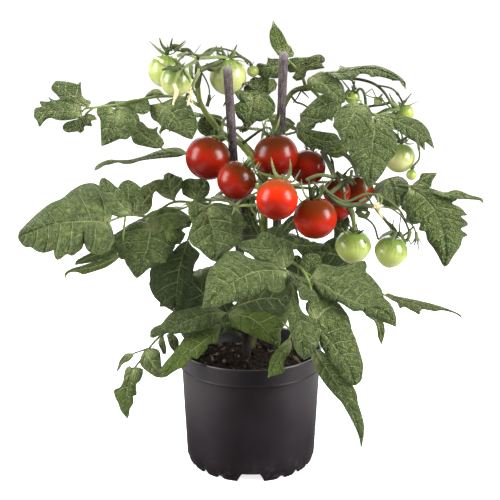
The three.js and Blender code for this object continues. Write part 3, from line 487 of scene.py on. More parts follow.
        ("sepal", "402,141 407,137 413.5,134", (-8, -12), (1.6, 0.4)),
        ("light", "404,142 409,144 414.5,143.5", (-10, -14), (1.0, 0.3)),
        ("sepal", "399,142 394,141 391,138", (-8, -12), (1.5, 0.5)),
    ],
}
STRAND_LOOKS = ["sepal", "stalk", "petal", "light"]
STALK_RADIUS = 1.5
PEDICEL_RADIUS = 0.9
PEDICEL_GAP = 0.3

# Sepals: length beside the fruit's radius, half width at each share of the length, and how many there
# are on a fruit and how far they curl
SEPAL_LENGTH = 0.75
SEPAL_STEPS = 13
SEPAL_WIDTHS = ((0, 1.1), (0.12, 1.7), (0.4, 1.45), (0.8, 0.55), (1, 0.12))
YOUNG_SEPALS = (6, 1.6)
RIPE_SEPALS = (5, 1.8)

# Curves: points on each span of a route, and points on a leaf's stalk that leaflets may start from
SPAN_POINTS = 33
CURVE_POINTS = 201

# Leaflets: thickness and spacing of points; side veins; puckers; how far a blade puffs, folds, cups, waves
# and droops beside its own width or length; the drawn margins and the stalk's share of the length
LEAF_THICKNESS = 0.5
LEAF_STEP = 1.0
VEIN_SPACING = 12
STAGGER = 0.35
VEIN_BEND = 0.45
VEIN_SLANT = 0.45
PUCKER_SPACING = 4.4
PUCKER_HEIGHT = 1.25
PUFF = 0.045
PUFF_LIMITS = (0.35, 2.2)
FOLD = 0.26
CUP = 0.3
WAVE = 0.045
DROOP = 0.3
DROOP_START = 0.62
MARGIN_STEPS = 400
MARGIN_WOBBLE = 0.9
FRAME_WIDTH = 500
STALK_SHARE = 0.05

# Outlines of the leaflets that the front view shows, by leaf and by the leaflet's number in LEAVES, drawn
# as places in the 500-wide frame: the midrib from its foot to the tip, then each margin from foot to tip
DRAWN = {
    "low_left": {
        0: ("226,313 212,313 195,318 180,324 165,331 150,337",
            "215,308 204,306 190,308 178,311 172,312 166,318 161,324 154,327 150.5,331",
            "221,319 215,325 208,328 200,330.5 190,331.5 183,333 175,334 165,333 158,336 153,338"),
        1: ("229,314 240,315 252,319 262,327 272,337 279,347",
            "236,307 246,302 258,301 270,302 280,306 286,314 287,322 281,331 281,341",
            "229,320 231,326 238,329 246,333 254,337 262,340 271,344"),
        2: ("221,324 211,336 199,345 187,354 175,363 162.5,377",
            "216,325 207,328.5 198,329.5 190,332.5 184,338 179,345 173,353 166,361 161,369",
            "219,336 217,343 209,344 207,349 201,355 197,359 192,358 188,363 184,367 179,369 172,373 "
            "166,377"),
        3: ("214,302 204,294 196,286 188,279",
            "212,284 212,272 206,269 201,275 195,275.5 190,277",
            "212,309 202,312 190,313 180,310 177,300 180,288"),
        4: ("232,308 248,302 266,298 288,300",
            "240,299 254,291 270,287 286,290",
            "240,312 256,314 274,314 290,312"),
        5: ("240,322 222,324 204,328 181,334",
            "236,306 226,300 212,303 198,310 188,324",
            "234,330 222,334 208,338 194,340 185,339"),
    },
    "low_far_left": {
        0: ("132,368 129,380 127,392 126,405 127.5,419",
            "130,365.5 126,368 124,375 123,381 120,387 114,390 115,397 118,403 121,411",
            "137,367 143,369 143,374 140,381 136.5,384 136.5,395 133.5,396 133.5,403 130,409 129,415"),
        1: ("144,351 150,360 156,369 163,378",
            "141,356 140,363 143,368 149,373 156,377",
            "150,348 156,348.5 160,352 161,360 162,368 164,373"),
        2: ("134,353.5 126,358 121,364 116,373",
            "130,353 125,354 120,360 118,366",
            "133,357 129,361 123,364 119.5,369"),
        3: ("163,336 164,345 165.5,354.5",
            "160,338 158,343 161,350 163,354",
            "164,338 166,346 166.5,352"),
        4: ("172,333 174,343 175,353",
            "167,334 168,341 170,347 173,350.5",
            "176,336 179,342 177,349"),
    },
    "rim_right": {
        0: ("290,338 285,348 279,358 273,368 268,377.5",
            "284,342 279,347 274,353 270,361 268.5,369",
            "292,345 290,352 285,360 284,368 284,372 276,375"),
    },
    "front_left": {
        0: ("288,271 270,270 255,272 243,277 232,283 222,290 212,299 202.5,308",
            "280,265 272,261 264,260 254,259 246,256 240,251.5 234,250.5 227,252 221,257.5 214,264 "
            "209,271 206,281 204.5,293 203,302",
            "288,276 288,283 284,289 277,292.5 271,291 266,288 259,293 251,296.5 243,298.5 234,301 "
            "226,304 217,307.5 209,309"),
        1: ("281,270 276,257 271,245 263,232",
            "273,270 264,266 256,260 249,254 243,251 238,246.5 239,243 245,240.5 252,239.5 256,239.5 "
            "258,235",
            "287,267 291,264 294.5,258 293,249 289,243 284,239 278,238 272,234 266,232"),
        2: ("288,278 292,292 296,306 300,322 303,340 304,359.5",
            "283,283 285,290 288,298 286,308 285.8,314 288,322 291,335 294,347 299,355",
            "294,280 297,290 299,300 300.5,308 305,314 312,317 317,322 320,330 320,338 317,347 312,354 "
            "308,358"),
        3: ("283,270 288,278 292,286 296,296",
            "274,276 272,286 280,289 286,291 291,296",
            "290,271 298,278 298,288"),
    },
    "front_right": {
        0: ("309,279 322,284 335,293 347,299 360,304 375,308 387,313 396,327",
            "314,272 318,264 328,265 340,266.5 350,264 357,262 365,261 367,266 366,271 371,276 377,283 "
            "382,290 384,297 390,303 394,310 396.5,319",
            "312,284 318,294 326,299.5 340,303 348,308 354,311.5 362,311 367,316.5 372,317 377,319 "
            "383,322 390,324.5"),
        1: ("309,279 309,270 309,262 310,253.5",
            "303,275 300.5,268 300,261 303,256 306,254",
            "314,276 318,270 321,264 321,257 316,254"),
        2: ("366,312 375,320 380,332 381.5,345",
            "369,318 374,321 377,329 377.5,335 379.5,341",
            "376,316 383,322 385,331 383.5,339"),
        3: ("313,318 320,330 330,342 341,356 350,370 355,386",
            "307,313 305,305 310,299 322,297 332,300 340,304 345,311 349,317 352,329 356,339 360,352 "
            "363,363 363,372 361,381",
            "314,327 318,336 320,344 325,353 332,362 340,372 347,381"),
        4: ("314,350 322,362 331,376 342,392 351,407 357,424 361,449",
            "311,356 314,366 320,377 328,388 337,398 341,402 347,412 354,425 359,437 360.5,445",
            "320,350 332,360 343,372 350,381 355,389 357.5,396 358,402 361,412 364,424 364,434 "
            "362.5,443"),
        5: ("322,291 312,287 302,283 291,276",
            "320,284 312,280 304,277.5 296,275.5",
            "325,299 317,302 308,301 300.5,299.5 298,291 294,283"),
    },
    "mid_left": {
        0: ("110,223 90,221.5 70,222 55,224 40,228.5 25,233.5 18,238",
            "112,216 113,207 108,196 100,186 92,183 82,184.5 72,190 62,198 50,203.5 43,208.5 33,217 "
            "24,226 19,232",
            "113,231 114,244 106,253 94,254 87,250 84,243.5 82.5,248 77,253 72,256 67,254.5 62,258 "
            "57,260 54,255 55,250.5 49,252 43,253 36,251 31,247.5 25,247 20,242"),
        1: ("131,214 120,203 110,190 102.5,177.5",
            "120,217 111,214 106,207 103,198 100,189 99.5,181.5",
            "132,206 128,198 122,190 116,186.5 111,182 106,178.5"),
        2: ("133,214 130,203 128.5,192 128.5,179.5",
            "126,212 120,205 117,196 118,188 121,183 124,181",
            "138,211 142,203 143,195 141,188 137,184 132,181"),
        3: ("135,214 142,205 151,193 161,179",
            "135,207 137,197 139,190 143,185.5 146,184.5 150,182.5 155,180",
            "141,216 148,212.5 152,206 152.5,199 154,193 161,188 164,182"),
        4: ("121,247 105,252 90,257 75,265",
            "118,242 104,246 92,252 82,257 76,261",
            "118,253 105,258 93,262 82,264"),
        5: ("150,224 150,235 148,247 144,258 140,268 137,278.5",
            "144,221.5 136,221.5 128,226 121,230 113,236 111,243 116,250 119,257 121,259.5 124,259.5 "
            "126,264 130,270 134,276",
            "152,217 158,210 168,207 178,209 187,214 192,221 190,227 183,228.5 180,230 186,232 184,238 "
            "181,244 177,243.5 174,249 171,254 167,258 165,263.5 159,263.5 153,267 148,269.5 143,274"),
        6: ("175,201 172,194 169,184 168,172.3",
            "168,199 163,197 158,193 154,188 155,182 160,179 163,179.5 164,175",
            "176,196 180,190 183,186 183,180 181,177 177,176 172,173.5"),
        7: ("196,200 199,193 203,186 206,179.5",
            "190,198.5 183,195 181,188 183,181 189,178.2 196,179 201,178.5",
            "200,200 205,198 208.5,194 210,188 209,183"),
        8: ("121,255 105,263 90,268 75,270.5 67,273 65,279",
            "115,254 100,260 88,263.5 80,266 73,268 67,271 64.5,274",
            "117,260 106,267.5 96,271 88,273.5 83,274.5 78,272.5 72,272 67.5,274"),
    },
    "mid_centre": {
        0: ("206,207 209,219 213,231 214,240 214,251 216,262",
            "200,203 192,203 188,209 189,217 192,224 189,232 189,240 193,246 199,249.5 204,254.5 "
            "210,259.5",
            "212,203 222,203 232,207 240,212 244,219 247.5,226 241,231.5 242,238.5 238,244 231,249.5 "
            "225,255 220,259.5"),
        1: ("188,240 183,256 179,272 177,288 176,300 177,313",
            "180,244 174,250 168,256 160,262 152,267 149.5,272 150,280 149,284 151,291 155,298 "
            "160,303.5 159,306.5 165,307 171,310.5",
            "192,246 197,250 200,254 198,259 195,264 193.5,271 193.5,277 190,281 189,288 187,294 "
            "184,302 181,309"),
        2: ("262,240 256,228 250,214 245,199",
            "248,241 240,240 238,228 239,214 240,203",
            "262,232 257,221 257,210 254,200"),
    },
    "upper_left": {
        0: ("82,112 70,111 57,111 45,112 34,113",
            "80,104 72,101 62,99 54,100 48,96.5 51,101 39,101.5 45,105.5 40,107 35,108.5",
            "82,117 75,119 65,120.5 57,120 51,118 47,119 43,122.5 39.5,127 37,121 34,117"),
        1: ("88,107 78,100 68,92 56,81",
            "80,106 70,103 61,100 57,95 52,90 51.5,87 54,83",
            "92,101 86,99.5 82,95 81,88 80.5,81.5 78,84 73,83 66,81.5"),
        2: ("86,114 82,122 80,133",
            "78,119 70,121 65,123 62.5,128 66,132 71,132.5 76,130.5",
            "92,114 97,118 97,120 91,121 92,126 85,126 83.5,131"),
        3: ("115,110 114,120 111,130 106,139 101.5,146",
            "108,106 103,104.5 97,109 97,114 100,119 100.5,128 101,138",
            "122,106 130,109 136,112 140,119 139,125 134,130 130,137 126,139.5 120,139 113,142 "
            "107,144.5"),
        4: ("162,103 170,111 179,121 186,131 192,139.5",
            "155,104 148,106 150,112 152,119 157,122 162,127 168,130 176,133 184,137",
            "168,100 176,97.5 183,98 188,103 192,108 194,115 197,120 198,127 195,134"),
        5: ("163,94 150,96 135,102 120,104 104,105",
            "160,90 155,89 149,92 143,98 135,99 125,101 112,101",
            "160,95 152,97.5 147,100.5 150,104.5 149,112 144,114.5 139,114 130,109 118,108 110,107"),
    },
    "upper_left_low": {
        0: ("161,148 150,140 141,133 132,128",
            "165,142 161,137 157,131.5 158,126 154,128.5 148,127.5 141,121.5",
            "155,148.5 148,147 140,145.5 134,143 131.5,138 131,133"),
        1: ("188,153 170,154 150,157 130,160.5 112,162 94,171",
            "180,148 168,148 158,150.5 150,153.5 140,157 130,159.5 118,160 110,159.5 102,162 96,166",
            "180,156.5 165,158 150,159.5 140,161 132,163.5 124,164 118,162.5 110,164.5 100,166 96,168.5"),
        2: ("216,140 209,131 200,118",
            "209,137 200,133 197,125",
            "223,133 221,122 213,117 205,116"),
    },
    "top_up": {
        0: ("284,57 281,47 277,35 273,20.5",
            "279,56 275,51 271,45 269.5,37 270,31 272,26",
            "290,57.5 295,55 292.5,51 291,47 288,44.5 285,38 281,31 276,25"),
        1: ("296,72 304,68 313,63 324,57",
            "288,72 284,66 287,60 295,57.5 303,57.5 309,57 315,55 320.5,54.5",
            "292,79 300,81 305,77 307,71 314,70 321,68.5 325.5,67.5 321.5,64.5 325,60.5"),
        2: ("288,64 278,66 270,67 254,68",
            "280,59 270,58.5 268,57 266.5,64 259,63",
            "284,72 278,78 270,78 262,77 256,73"),
    },
    "centre_top": {
        0: ("254,97 252,105 250,115 247,129",
            "248,92 240,90 235,91 236,97 240,101 234,105 235,111 238,118 241,120 244,125",
            "262,92 269,95 274,101 276,107 274,113 270,117 264,120 257,121 251,126"),
        1: ("270,93 262,87 252,84.5 243,83.5",
            "277,88 276,80 266,78.5 255,79.5 248,81.5",
            "264,94 258,92 252,89 247,86"),
    },
    "right_top": {
        0: ("326,72.5 340,73 352,71 362,69 375,69 388,73 398,79 405.5,89",
            "333,71 339,70 340,65 344,67 352,67 360,66 368,65.5 373,65 382,67 391,71 399,76 404,81",
            "334,76 338,79 346,80 354,78.5 360,74 368,74.5 371.5,77 378,76.5 386,78 394,80.5 401,81"),
        1: ("313,76 322,83 332,92 345,102",
            "320,71.5 330,74 336,78 341,82 344,88 345,95",
            "308,78 307,84 313,87 318,91 324,95 331,101 339,104"),
    },
    "right_mid": {
        0: ("361,103 355,112 349,123 346,134 346,145",
            "350,103 340,108 334,115 334,121 333,126 337,131 340,138",
            "368,106 372,115 370,124 362,131 354,138 350,143"),
        1: ("342,101 330,103 315,109 299,115.5",
            "336,97 328,95 321,95 312,102 306,108",
            "340,112 332,118 322,119 312,118 304,116.5"),
    },
    "right_hang": {
        0: ("374,118 375,127 373,140 372,155 370,170 370,188",
            "366,122 358,128 350,137 348,150 352,160 357,168 362,176 366,184",
            "383,122 393,130 397,141 395,155 390,160 386,168 380,177 374,184"),
        1: ("378,115 390,119 403,124 416,131 426,139 434.5,149",
            "385,112 395,114 408,117 418,120 427,128 431,137",
            "380,122 388,128 398,131 408,138 415,142 421,147 425,151 422,144 419,138.5 427,143"),
        2: ("349,146 342,150 334,152 323,151",
            "347,139 342,139 335,145 329,148",
            "347,153 341,157 335,158 328,155"),
    },
    "right_far": {
        0: ("411,188 420,194 430,204 437,216 443,232 446,250 444.5,267",
            "405,194 402,201 401,208 406,213 406,221 409,223.5 416,224.5 420,223 419,230 425,232 "
            "427,240 433,248 438,256 442,264",
            "421,188 430,188 440,191 449,194 457,199.5 452,203 460,207 466,213 468,215.5 461,216 "
            "467,222 468,225 461,229 468,235 463,238 461,245 458,250 453,257 448,265"),
        1: ("412,186 421,180 429,175 437,172.5",
            "414,183 419,179 421.5,173.5 430,173",
            "418,189 426,188.5 431,187 432,182 435,177"),
        2: ("432,192 445,195 455,194 468,196.5 478,198.5 484,204",
            "438,191 446,192 454,190 461,191 468,194 476,196.5 482,198.5",
            "440,196 450,198 458,199 468,199.5 477,200 481,201"),
        3: ("389,178 392,188 395,198 397,210",
            "383,180 376,185 373,191 375,198 381,204 390,208.5",
            "398,176 405,179 409,185 408,192 403,199 401,205"),
    },
    "right_back": {
        0: ("296,128 308,135 322,141 341,141",
            "298,121 303,127 313,130 325,132 336,134",
            "297,137 303,143 309,148 317,149 324,151 333,147"),
    },
    "right_low": {
        0: ("384,295 398,299 412,303.5 430,308 448,311 456,313.5 463,319",
            "388,293 395,295.5 405,297.5 415,299.5 430,303 442,306.5 451,310 460,314.5",
            "388,298 393,301 397,303 400,308.5 404,307 410,310 416,313 419,315 421.5,310 430,310.5 "
            "435,311.5 440,310.5 449,311.5 457,314.5"),
        3: ("346,258 334,254 320,252 306,250",
            "346,245 338,237 328,240 320,246 312,249",
            "346,268 330,268 316,262 308,256"),
        4: ("340,246 341,236 341,226 340,213",
            "334,246 334,232 333,222 336,215",
            "348,246 347,232 350,222 346,214"),
    },
    "inner": {
        2: ("280,236 286,228 292,221 298,216",
            "278,234 280,228 288,218 294,215",
            "286,236 291,231 296,228 298,221"),
        3: ("276,238 286,240 297,245 310,240",
            "280,235 288,235 297,240 304,238",
            "279,241 290,246 298,250 304,248"),
        4: ("298,279 298,270 297,262 297,255",
            "288,276 286,268 290,262 293,256",
            "306,278 306,270 303,262 300,256"),
    },
}

# Drawings that the other leaflets borrow, from wide to narrow
BORROWED = [("mid_left", 5), ("right_far", 0), ("upper_left", 3), ("mid_centre", 0), ("front_left", 0),
            ("front_right", 0), ("upper_left", 4), ("right_hang", 0), ("low_far_left", 0), ("low_left", 0),
            ("low_left", 2)]


# ---- Camera, light and floor -----------------------------------------------------------------


def linked(data, name):
    made = bpy.data.objects.new(name, data)
    bpy.context.scene.collection.objects.link(made)
    return made


def aimed(thing, place, target):
    """A camera or lamp put at a place and turned to face a target."""
    thing.location = Vector(place) * MM
    heading = Vector(target) - Vector(place)
    thing.rotation_mode = "QUATERNION"
    thing.rotation_quaternion = heading.to_track_quat("-Z", "Y")
    return thing


def make_camera():
    data = bpy.data.cameras.new("camera")
    data.sensor_width = SENSOR_WIDTH
    data.lens = LENS
    data.clip_start = 0.05
    data.clip_end = 30
    bpy.context.scene.camera = aimed(linked(data, "camera"), CAMERA_PLACE, CAMERA_TARGET)


def make_lights():
    """Softboxes, hidden from the camera; the top one is hidden from glossy surfaces too."""
    for name, (place, width, height, power) in SOFTBOXES.items():
        data = bpy.data.lights.new(name, "AREA")
        data.shape = "RECTANGLE"
        data.size = width * MM
        data.size_y = height * MM
        data.energy = power
        lamp = aimed(linked(data, name), place, SOFTBOX_TARGET)
        lamp.visible_camera = False
        lamp.visible_glossy = name != "softbox_top"


def make_world():
    """White to the camera; to the rest, a fill that changes from the studio's front to its back."""
    world = bpy.data.worlds.new("studio")
    bpy.context.scene.world = world
    world.use_nodes = True
    tree = world.node_tree
    tree.nodes.clear()
    where = tree.nodes.new("ShaderNodeTexCoord")
    split = tree.nodes.new("ShaderNodeSeparateXYZ")
    tree.links.new(where.outputs["Generated"], split.inputs[0])
    path = tree.nodes.new("ShaderNodeLightPath")

    def fill(front, back, start, end):
        sweep = tree.nodes.new("ShaderNodeMapRange")
        sweep.interpolation_type = "SMOOTHSTEP"
        for socket, value in (("From Min", start), ("From Max", end), ("To Min", front), ("To Max", back)):
            sweep.inputs[socket].default_value = value
        tree.links.new(split.outputs[1], sweep.inputs["Value"])
        light = tree.nodes.new("ShaderNodeBackground")
        tree.links.new(sweep.outputs[0], light.inputs["Strength"])
        return light

    def chosen(ray, other, light):
        mix = tree.nodes.new("ShaderNodeMixShader")
        for socket, source in enumerate((path.outputs[ray], other.outputs[0], light.outputs[0])):
            tree.links.new(source, mix.inputs[socket])
        return mix

    seen = tree.nodes.new("ShaderNodeBackground")
    seen.inputs["Color"].default_value = (1, 1, 1, 1)
    seen.inputs["Strength"].default_value = BACKGROUND_SEEN
    glossy = fill(*GLOSSY_FILL, *GLOSSY_SWEEP)
    unseen = chosen("Is Glossy Ray", fill(*MATT_FILL, *MATT_SWEEP), glossy)
    whole = chosen("Is Camera Ray", unseen, seen)
    out = tree.nodes.new("ShaderNodeOutputWorld")
    tree.links.new(whole.outputs[0], out.inputs[0])


def set_view():
    view = bpy.context.scene.view_settings
    view.view_transform = "Standard"
    view.look = "None"


# ---- Material helpers ------------------------------------------------------------------------


def paint(red, green, blue):
    """A colour given as 0 to 255 on a screen, in Blender's linear scale."""
    def linear(value):
        share = value / 255
        return share / 12.92 if share <= 0.04045 else ((share + 0.055) / 1.055) ** 2.4
    return (linear(red), linear(green), linear(blue), 1)


class Look:
    """Short calls that build one material's nodes."""

    def __init__(self, name):
        self.material = bpy.data.materials.new(name)
        self.material.use_nodes = True
        self.tree = self.material.node_tree
        self.tree.nodes.clear()

    def add(self, kind, inputs=None, **settings):
        node = self.tree.nodes.new(kind)
        for key, value in settings.items():
            setattr(node, key, value)
        for socket, value in (inputs or {}).items():
            if isinstance(value, bpy.types.NodeSocket):
                self.tree.links.new(value, node.inputs[socket])
            else:
                node.inputs[socket].default_value = value
        return node

    def math(self, operation, first, second=0.0, third=0.0):
        inputs = {0: first, 1: second, 2: third}
        return self.add("ShaderNodeMath", inputs, operation=operation).outputs[0]

    def plus(self, first, second):
        return self.math("ADD", first, second)

    def times(self, first, second):
        return self.math("MULTIPLY", first, second)

    def fade(self, value, low, high, start=0.0, end=1.0):
        """start below low, end above high, and a smooth step between."""
        inputs = {"Value": value, "From Min": low, "From Max": high, "To Min": start, "To Max": end}
        return self.add("ShaderNodeMapRange", inputs, interpolation_type="SMOOTHSTEP").outputs[0]

    def mix(self, share, first, second, blend="MIX"):
        inputs = {0: share, 6: first, 7: second}
        node = self.add("ShaderNodeMix", inputs, data_type="RGBA", blend_type=blend)
        return node.outputs[2]

    def split(self, vector):
        return self.add("ShaderNodeSeparateXYZ", {0: vector}).outputs

    def join(self, x, y, z=0.0):
        return self.add("ShaderNodeCombineXYZ", {0: x, 1: y, 2: z}).outputs[0]

    def grey(self, shade):
        return self.add("ShaderNodeCombineColor", {0: shade, 1: shade, 2: shade}).outputs[0]

    def place(self):
        return self.add("ShaderNodeTexCoord").outputs["Object"]

    def own_map(self):
        """The piece's own map: across and along a leaflet, or round and up a fruit."""
        return self.split(self.add("ShaderNodeUVMap", uv_map=MAP_NAME).outputs[0])

    def value(self, name):
        return self.add("ShaderNodeAttribute", attribute_name=name).outputs["Fac"]

    def noise(self, scale, detail=3.0, roughness=0.5, vector=None):
        inputs = {"Vector": vector or self.place(), "Scale": scale, "Detail": detail, "Roughness": roughness}
        return self.add("ShaderNodeTexNoise", inputs).outputs["Fac"]

    def cells(self, scale, feature="DISTANCE_TO_EDGE", vector=None):
        inputs = {"Vector": vector or self.place(), "Scale": scale}
        return self.add("ShaderNodeTexVoronoi", inputs, feature=feature).outputs["Distance"]

    def bump(self, height, strength, distance):
        inputs = {"Height": height, "Strength": strength, "Distance": distance * MM}
        return self.add("ShaderNodeBump", inputs).outputs[0]

    def surface(self, inputs):
        return self.add("ShaderNodeBsdfPrincipled", inputs)

    def done(self, shader):
        self.add("ShaderNodeOutputMaterial", {0: shader.outputs[0]})
        return self.material


# ---- Materials -------------------------------------------------------------------------------


def leaf_material(name, deep, mid, light, vein, glow, relief, shine):
    """Leaf blade: a midrib and side veins drawn on the leaflet's own map, a fine net, and puckers.
    Its colour holds painted shade in the creases and beside the side veins, painted light on the pucker
    tops, and, by the tone, painted shade on shaded leaflets and a painted backlit glow on sunlit ones.
    """
    look = Look(name)
    across, along, _ = look.own_map()
    spread = look.math("ABSOLUTE", look.math("MULTIPLY_ADD", across, 2, -1))
    shift = look.times(look.math("GREATER_THAN", across, 0.5), STAGGER)
    wander = look.math("MULTIPLY_ADD", look.noise(90, 1), 0.22, -0.11)
    bent = look.plus(look.plus(along, shift), wander)
    side = look.math("ABSOLUTE", look.math("SUBTRACT", look.math("FRACT", bent), 0.5))

    beside = look.value("rise")
    midrib_width = look.math("MAXIMUM", look.math("MULTIPLY_ADD", along, -0.14, 1.05), 0.3)
    midrib = look.fade(look.math("DIVIDE", beside, midrib_width), 0.45, 1.2, 0.9, 0)
    from_foot = look.plus(look.math("POWER", beside, 2), look.math("POWER", look.times(along, 9), 2))
    foot = look.fade(look.math("POWER", from_foot, 0.5), 1.5, 11, 0.75, 0)
    reach = look.fade(spread, 0.35, 1.0, 0.85, 0.25)
    side_vein = look.times(look.fade(side, 0.006, 0.055, 1, 0), reach)

    swerve = look.math("MULTIPLY_ADD", look.noise(150, 2), 0.9, bent)
    ridged = look.join(look.times(across, 9), look.times(swerve, 3.4))
    coarse = look.fade(look.cells(1, vector=ridged), 0.0, 0.5)
    fine = look.fade(look.cells(520), 0.0, 0.4)
    puckers = look.plus(look.times(coarse, 0.55), look.times(fine, 0.45))

    tone = look.value("tone")
    # Painted shade: the borders between puckers, where creases fall, take the deep colour
    base = look.mix(look.fade(puckers, 0.0, 0.4, 0.2, 1), deep, mid)
    base = look.mix(look.fade(look.noise(30, 2, 0.5), 0.35, 0.62, 0.22, 0), base, deep)
    base = look.mix(look.fade(look.noise(260, 3, 0.6), 0.42, 0.66, 0, 0.18), base, light)
    # Painted light: the middles of the puckers, where light catches them, take the light colour
    base = look.mix(look.fade(puckers, 0.4, 1.0, 0, 0.4), base, light)
    # Painted light: leaflets of high tone take the glow colour, as if lit through from behind
    base = look.mix(look.fade(tone, 0.5, 1.0, 0, 0.85), base, glow)
    # Painted shade: a dark band along each side vein, where the blade creases
    base = look.mix(look.fade(side, 0.03, 0.14, 0.35, 0), base, deep)
    # Painted shade: leaflets of low tone darken towards the deep colour
    base = look.mix(look.fade(tone, 0.0, 0.4, 0.7, 0.0), base, deep)
    # The midrib's pale foot, dimmed on leaflets of low tone as part of their painted shade
    base = look.mix(look.times(foot, look.fade(tone, 0.1, 0.45, 0.2, 1)), base, vein)
    colour = look.mix(look.math("MAXIMUM", midrib, side_vein), base, vein)
    speckle = look.fade(look.noise(1000, 2), 0.35, 0.7, 0.8, 1.14)
    colour = look.mix(1.0, colour, look.grey(speckle), "MULTIPLY")

    crease = look.fade(side, 0.0, 0.2, 0, 0.5)
    height = look.plus(look.plus(puckers, crease), look.times(look.noise(1300, 2), 0.12))
    normal = look.bump(height, relief, 5.4)
    blade = look.surface({
        "Base Color": colour, "Roughness": shine, "Specular IOR Level": 0.4, "Sheen Weight": 0.12,
        "Sheen Roughness": 0.4, "Sheen Tint": (0.9, 0.95, 0.85, 1), "Normal": normal,
    })
    through = look.mix(0.6, colour, glow)
    behind = look.add("ShaderNodeBsdfTranslucent", {"Color": through, "Normal": normal})
    return look.done(look.add("ShaderNodeMixShader", {0: 0.3, 1: blade.outputs[0], 2: behind.outputs[0]}))


def stalk_material(name, deep, light, blush):
    """Ribbed green skin with blushed patches, which turns to the soil's brown at its foot."""
    look = Look(name)
    patches = look.fade(look.noise(55, 4, 0.6), 0.3, 0.7)
    ribs = look.noise(700, 2)
    colour = look.mix(patches, deep, light)
    colour = look.mix(look.fade(look.noise(160, 3), 0.56, 0.75, 0, 0.45), colour, blush)
    colour = look.mix(look.fade(ribs, 0.5, 0.8, 0, 0.4), colour, light)
    up = look.split(look.place())[2]
    colour = look.mix(look.fade(up, 0.115, 0.17, 0.8, 0), colour, paint(52, 44, 24))
    normal = look.bump(ribs, 0.5, 0.3)
    return look.done(look.surface({
        "Base Color": colour, "Roughness": 0.6, "Specular IOR Level": 0.3, "Sheen Weight": 0.12,
        "Sheen Roughness": 0.4, "Sheen Tint": (0.9, 0.95, 0.75, 1), "Normal": normal,
    }))


def ripe_material():
    """Red skin with painted shade that darkens it low down, and an uneven brown shoulder round the stem end.
    """
    look = Look("ripe_fruit")
    rise = look.value("rise")
    tone = look.value("tone")
    patches = look.noise(45, 3, 0.55)
    body = look.mix(look.fade(tone, 0.0, 1.0), paint(86, 9, 0), paint(206, 34, 2))
    body = look.mix(look.fade(patches, 0.35, 0.7, 0, 0.4), body, paint(146, 34, 0))
    # Painted shade: the lower part of each fruit darkens towards a deep red
    low = look.mix(look.fade(rise, 0.0, 0.55, 0.75, 0), body, paint(72, 3, 3))
    uneven = look.plus(rise, look.math("MULTIPLY_ADD", patches, 0.3, -0.15))
    brown = look.mix(look.fade(tone, 0.2, 1.0), paint(50, 22, 2), paint(118, 52, 3))
    shoulder = look.mix(look.fade(uneven, 0.36, 0.82, 0, 0.94), low, brown)
    freckles = look.fade(look.noise(1100, 1), 0.66, 0.76, 0, 0.22)
    colour = look.mix(freckles, shoulder, paint(200, 70, 26))
    normal = look.bump(look.noise(260, 2), 0.08, 0.4)
    return look.done(look.surface({
        "Base Color": colour, "Roughness": 0.27, "Specular IOR Level": 0.25, "Subsurface Weight": 0.05,
        "Subsurface Radius": (1.0, 0.25, 0.1), "Subsurface Scale": 2.5 * MM, "Normal": normal,
    }))


def unripe_material():
    """Green skin with paler streaks from its stem end, a green shoulder and a whitish foot."""
    look = Look("unripe_fruit")
    rise = look.value("rise")
    tone = look.value("tone")
    round_it, up_it, _ = look.own_map()
    angle = look.times(round_it, 2 * math.pi)
    ring = look.join(look.times(look.math("COSINE", angle), 3.2), look.times(look.math("SINE", angle), 3.2),
                     look.times(up_it, 0.8))
    streaks = look.noise(1.6, 3, 0.6, ring)
    body = look.mix(look.fade(tone, 0.2, 0.9), paint(150, 166, 66), paint(178, 180, 118))
    uneven = look.plus(rise, look.math("MULTIPLY_ADD", streaks, 0.5, -0.25))
    colour = look.mix(look.fade(uneven, 0.38, 0.9, 0, 0.9), body, paint(82, 106, 32))
    colour = look.mix(look.fade(rise, 0.0, 0.35, 0.5, 0), colour, paint(214, 214, 150))
    colour = look.mix(look.fade(look.noise(900, 1), 0.62, 0.74, 0, 0.25), colour, paint(226, 232, 184))
    normal = look.bump(look.noise(220, 2), 0.07, 0.4)
    return look.done(look.surface({
        "Base Color": colour, "Roughness": 0.3, "Specular IOR Level": 0.5, "Coat Weight": 0.2,
        "Coat Roughness": 0.2, "Subsurface Weight": 0.12, "Subsurface Radius": (1.0, 1.0, 0.4),
        "Subsurface Scale": 3 * MM, "Normal": normal,
    }))


def pot_material():
    """Satin dark plastic: painted shade that blackens the collar and the inner wall, scuffs, and dust on the
    foot.
    """
    look = Look("pot_plastic")
    clouds = look.noise(14, 4, 0.6)
    colour = look.mix(look.fade(clouds, 0.3, 0.7), paint(17, 13, 16), paint(25, 20, 24))
    across, deep, up = look.split(look.place())
    # Painted shade: the collar above the ridge is blackened, as the leaves shade it
    colour = look.mix(look.fade(up, 0.098, 0.102, 0, 0.6), colour, paint(5, 3, 4))
    # Painted shade: the inner wall above the soil is made near black, as it lies in shadow
    reach = look.math("POWER", look.plus(look.math("POWER", across, 2), look.math("POWER", deep, 2)), 0.5)
    inside = look.times(look.fade(reach, 0.0696, 0.0702, 1, 0), look.fade(up, 0.1, 0.101))
    colour = look.mix(inside, colour, paint(1, 1, 1))
    dust = look.times(look.fade(up, 0.0, 0.03, 1, 0), look.fade(look.noise(180, 4), 0.45, 0.75))
    colour = look.mix(look.times(dust, 0.35), colour, paint(82, 74, 72))
    scuffs = look.noise(500, 3, 0.7)
    worn = look.plus(look.times(clouds, 0.7), look.times(scuffs, 0.3))
    rough = look.fade(worn, 0.3, 0.7, 0.38, 0.5)
    normal = look.bump(look.noise(2200, 2), 0.12, 0.12)
    return look.done(look.surface({
        "Base Color": colour, "Roughness": rough, "Specular IOR Level": 0.62,
        "Specular Tint": (1, 0.9, 0.95, 1), "Sheen Weight": 0.14, "Sheen Roughness": 0.3,
        "Sheen Tint": (1, 0.94, 0.97, 1), "Normal": normal,
    }))


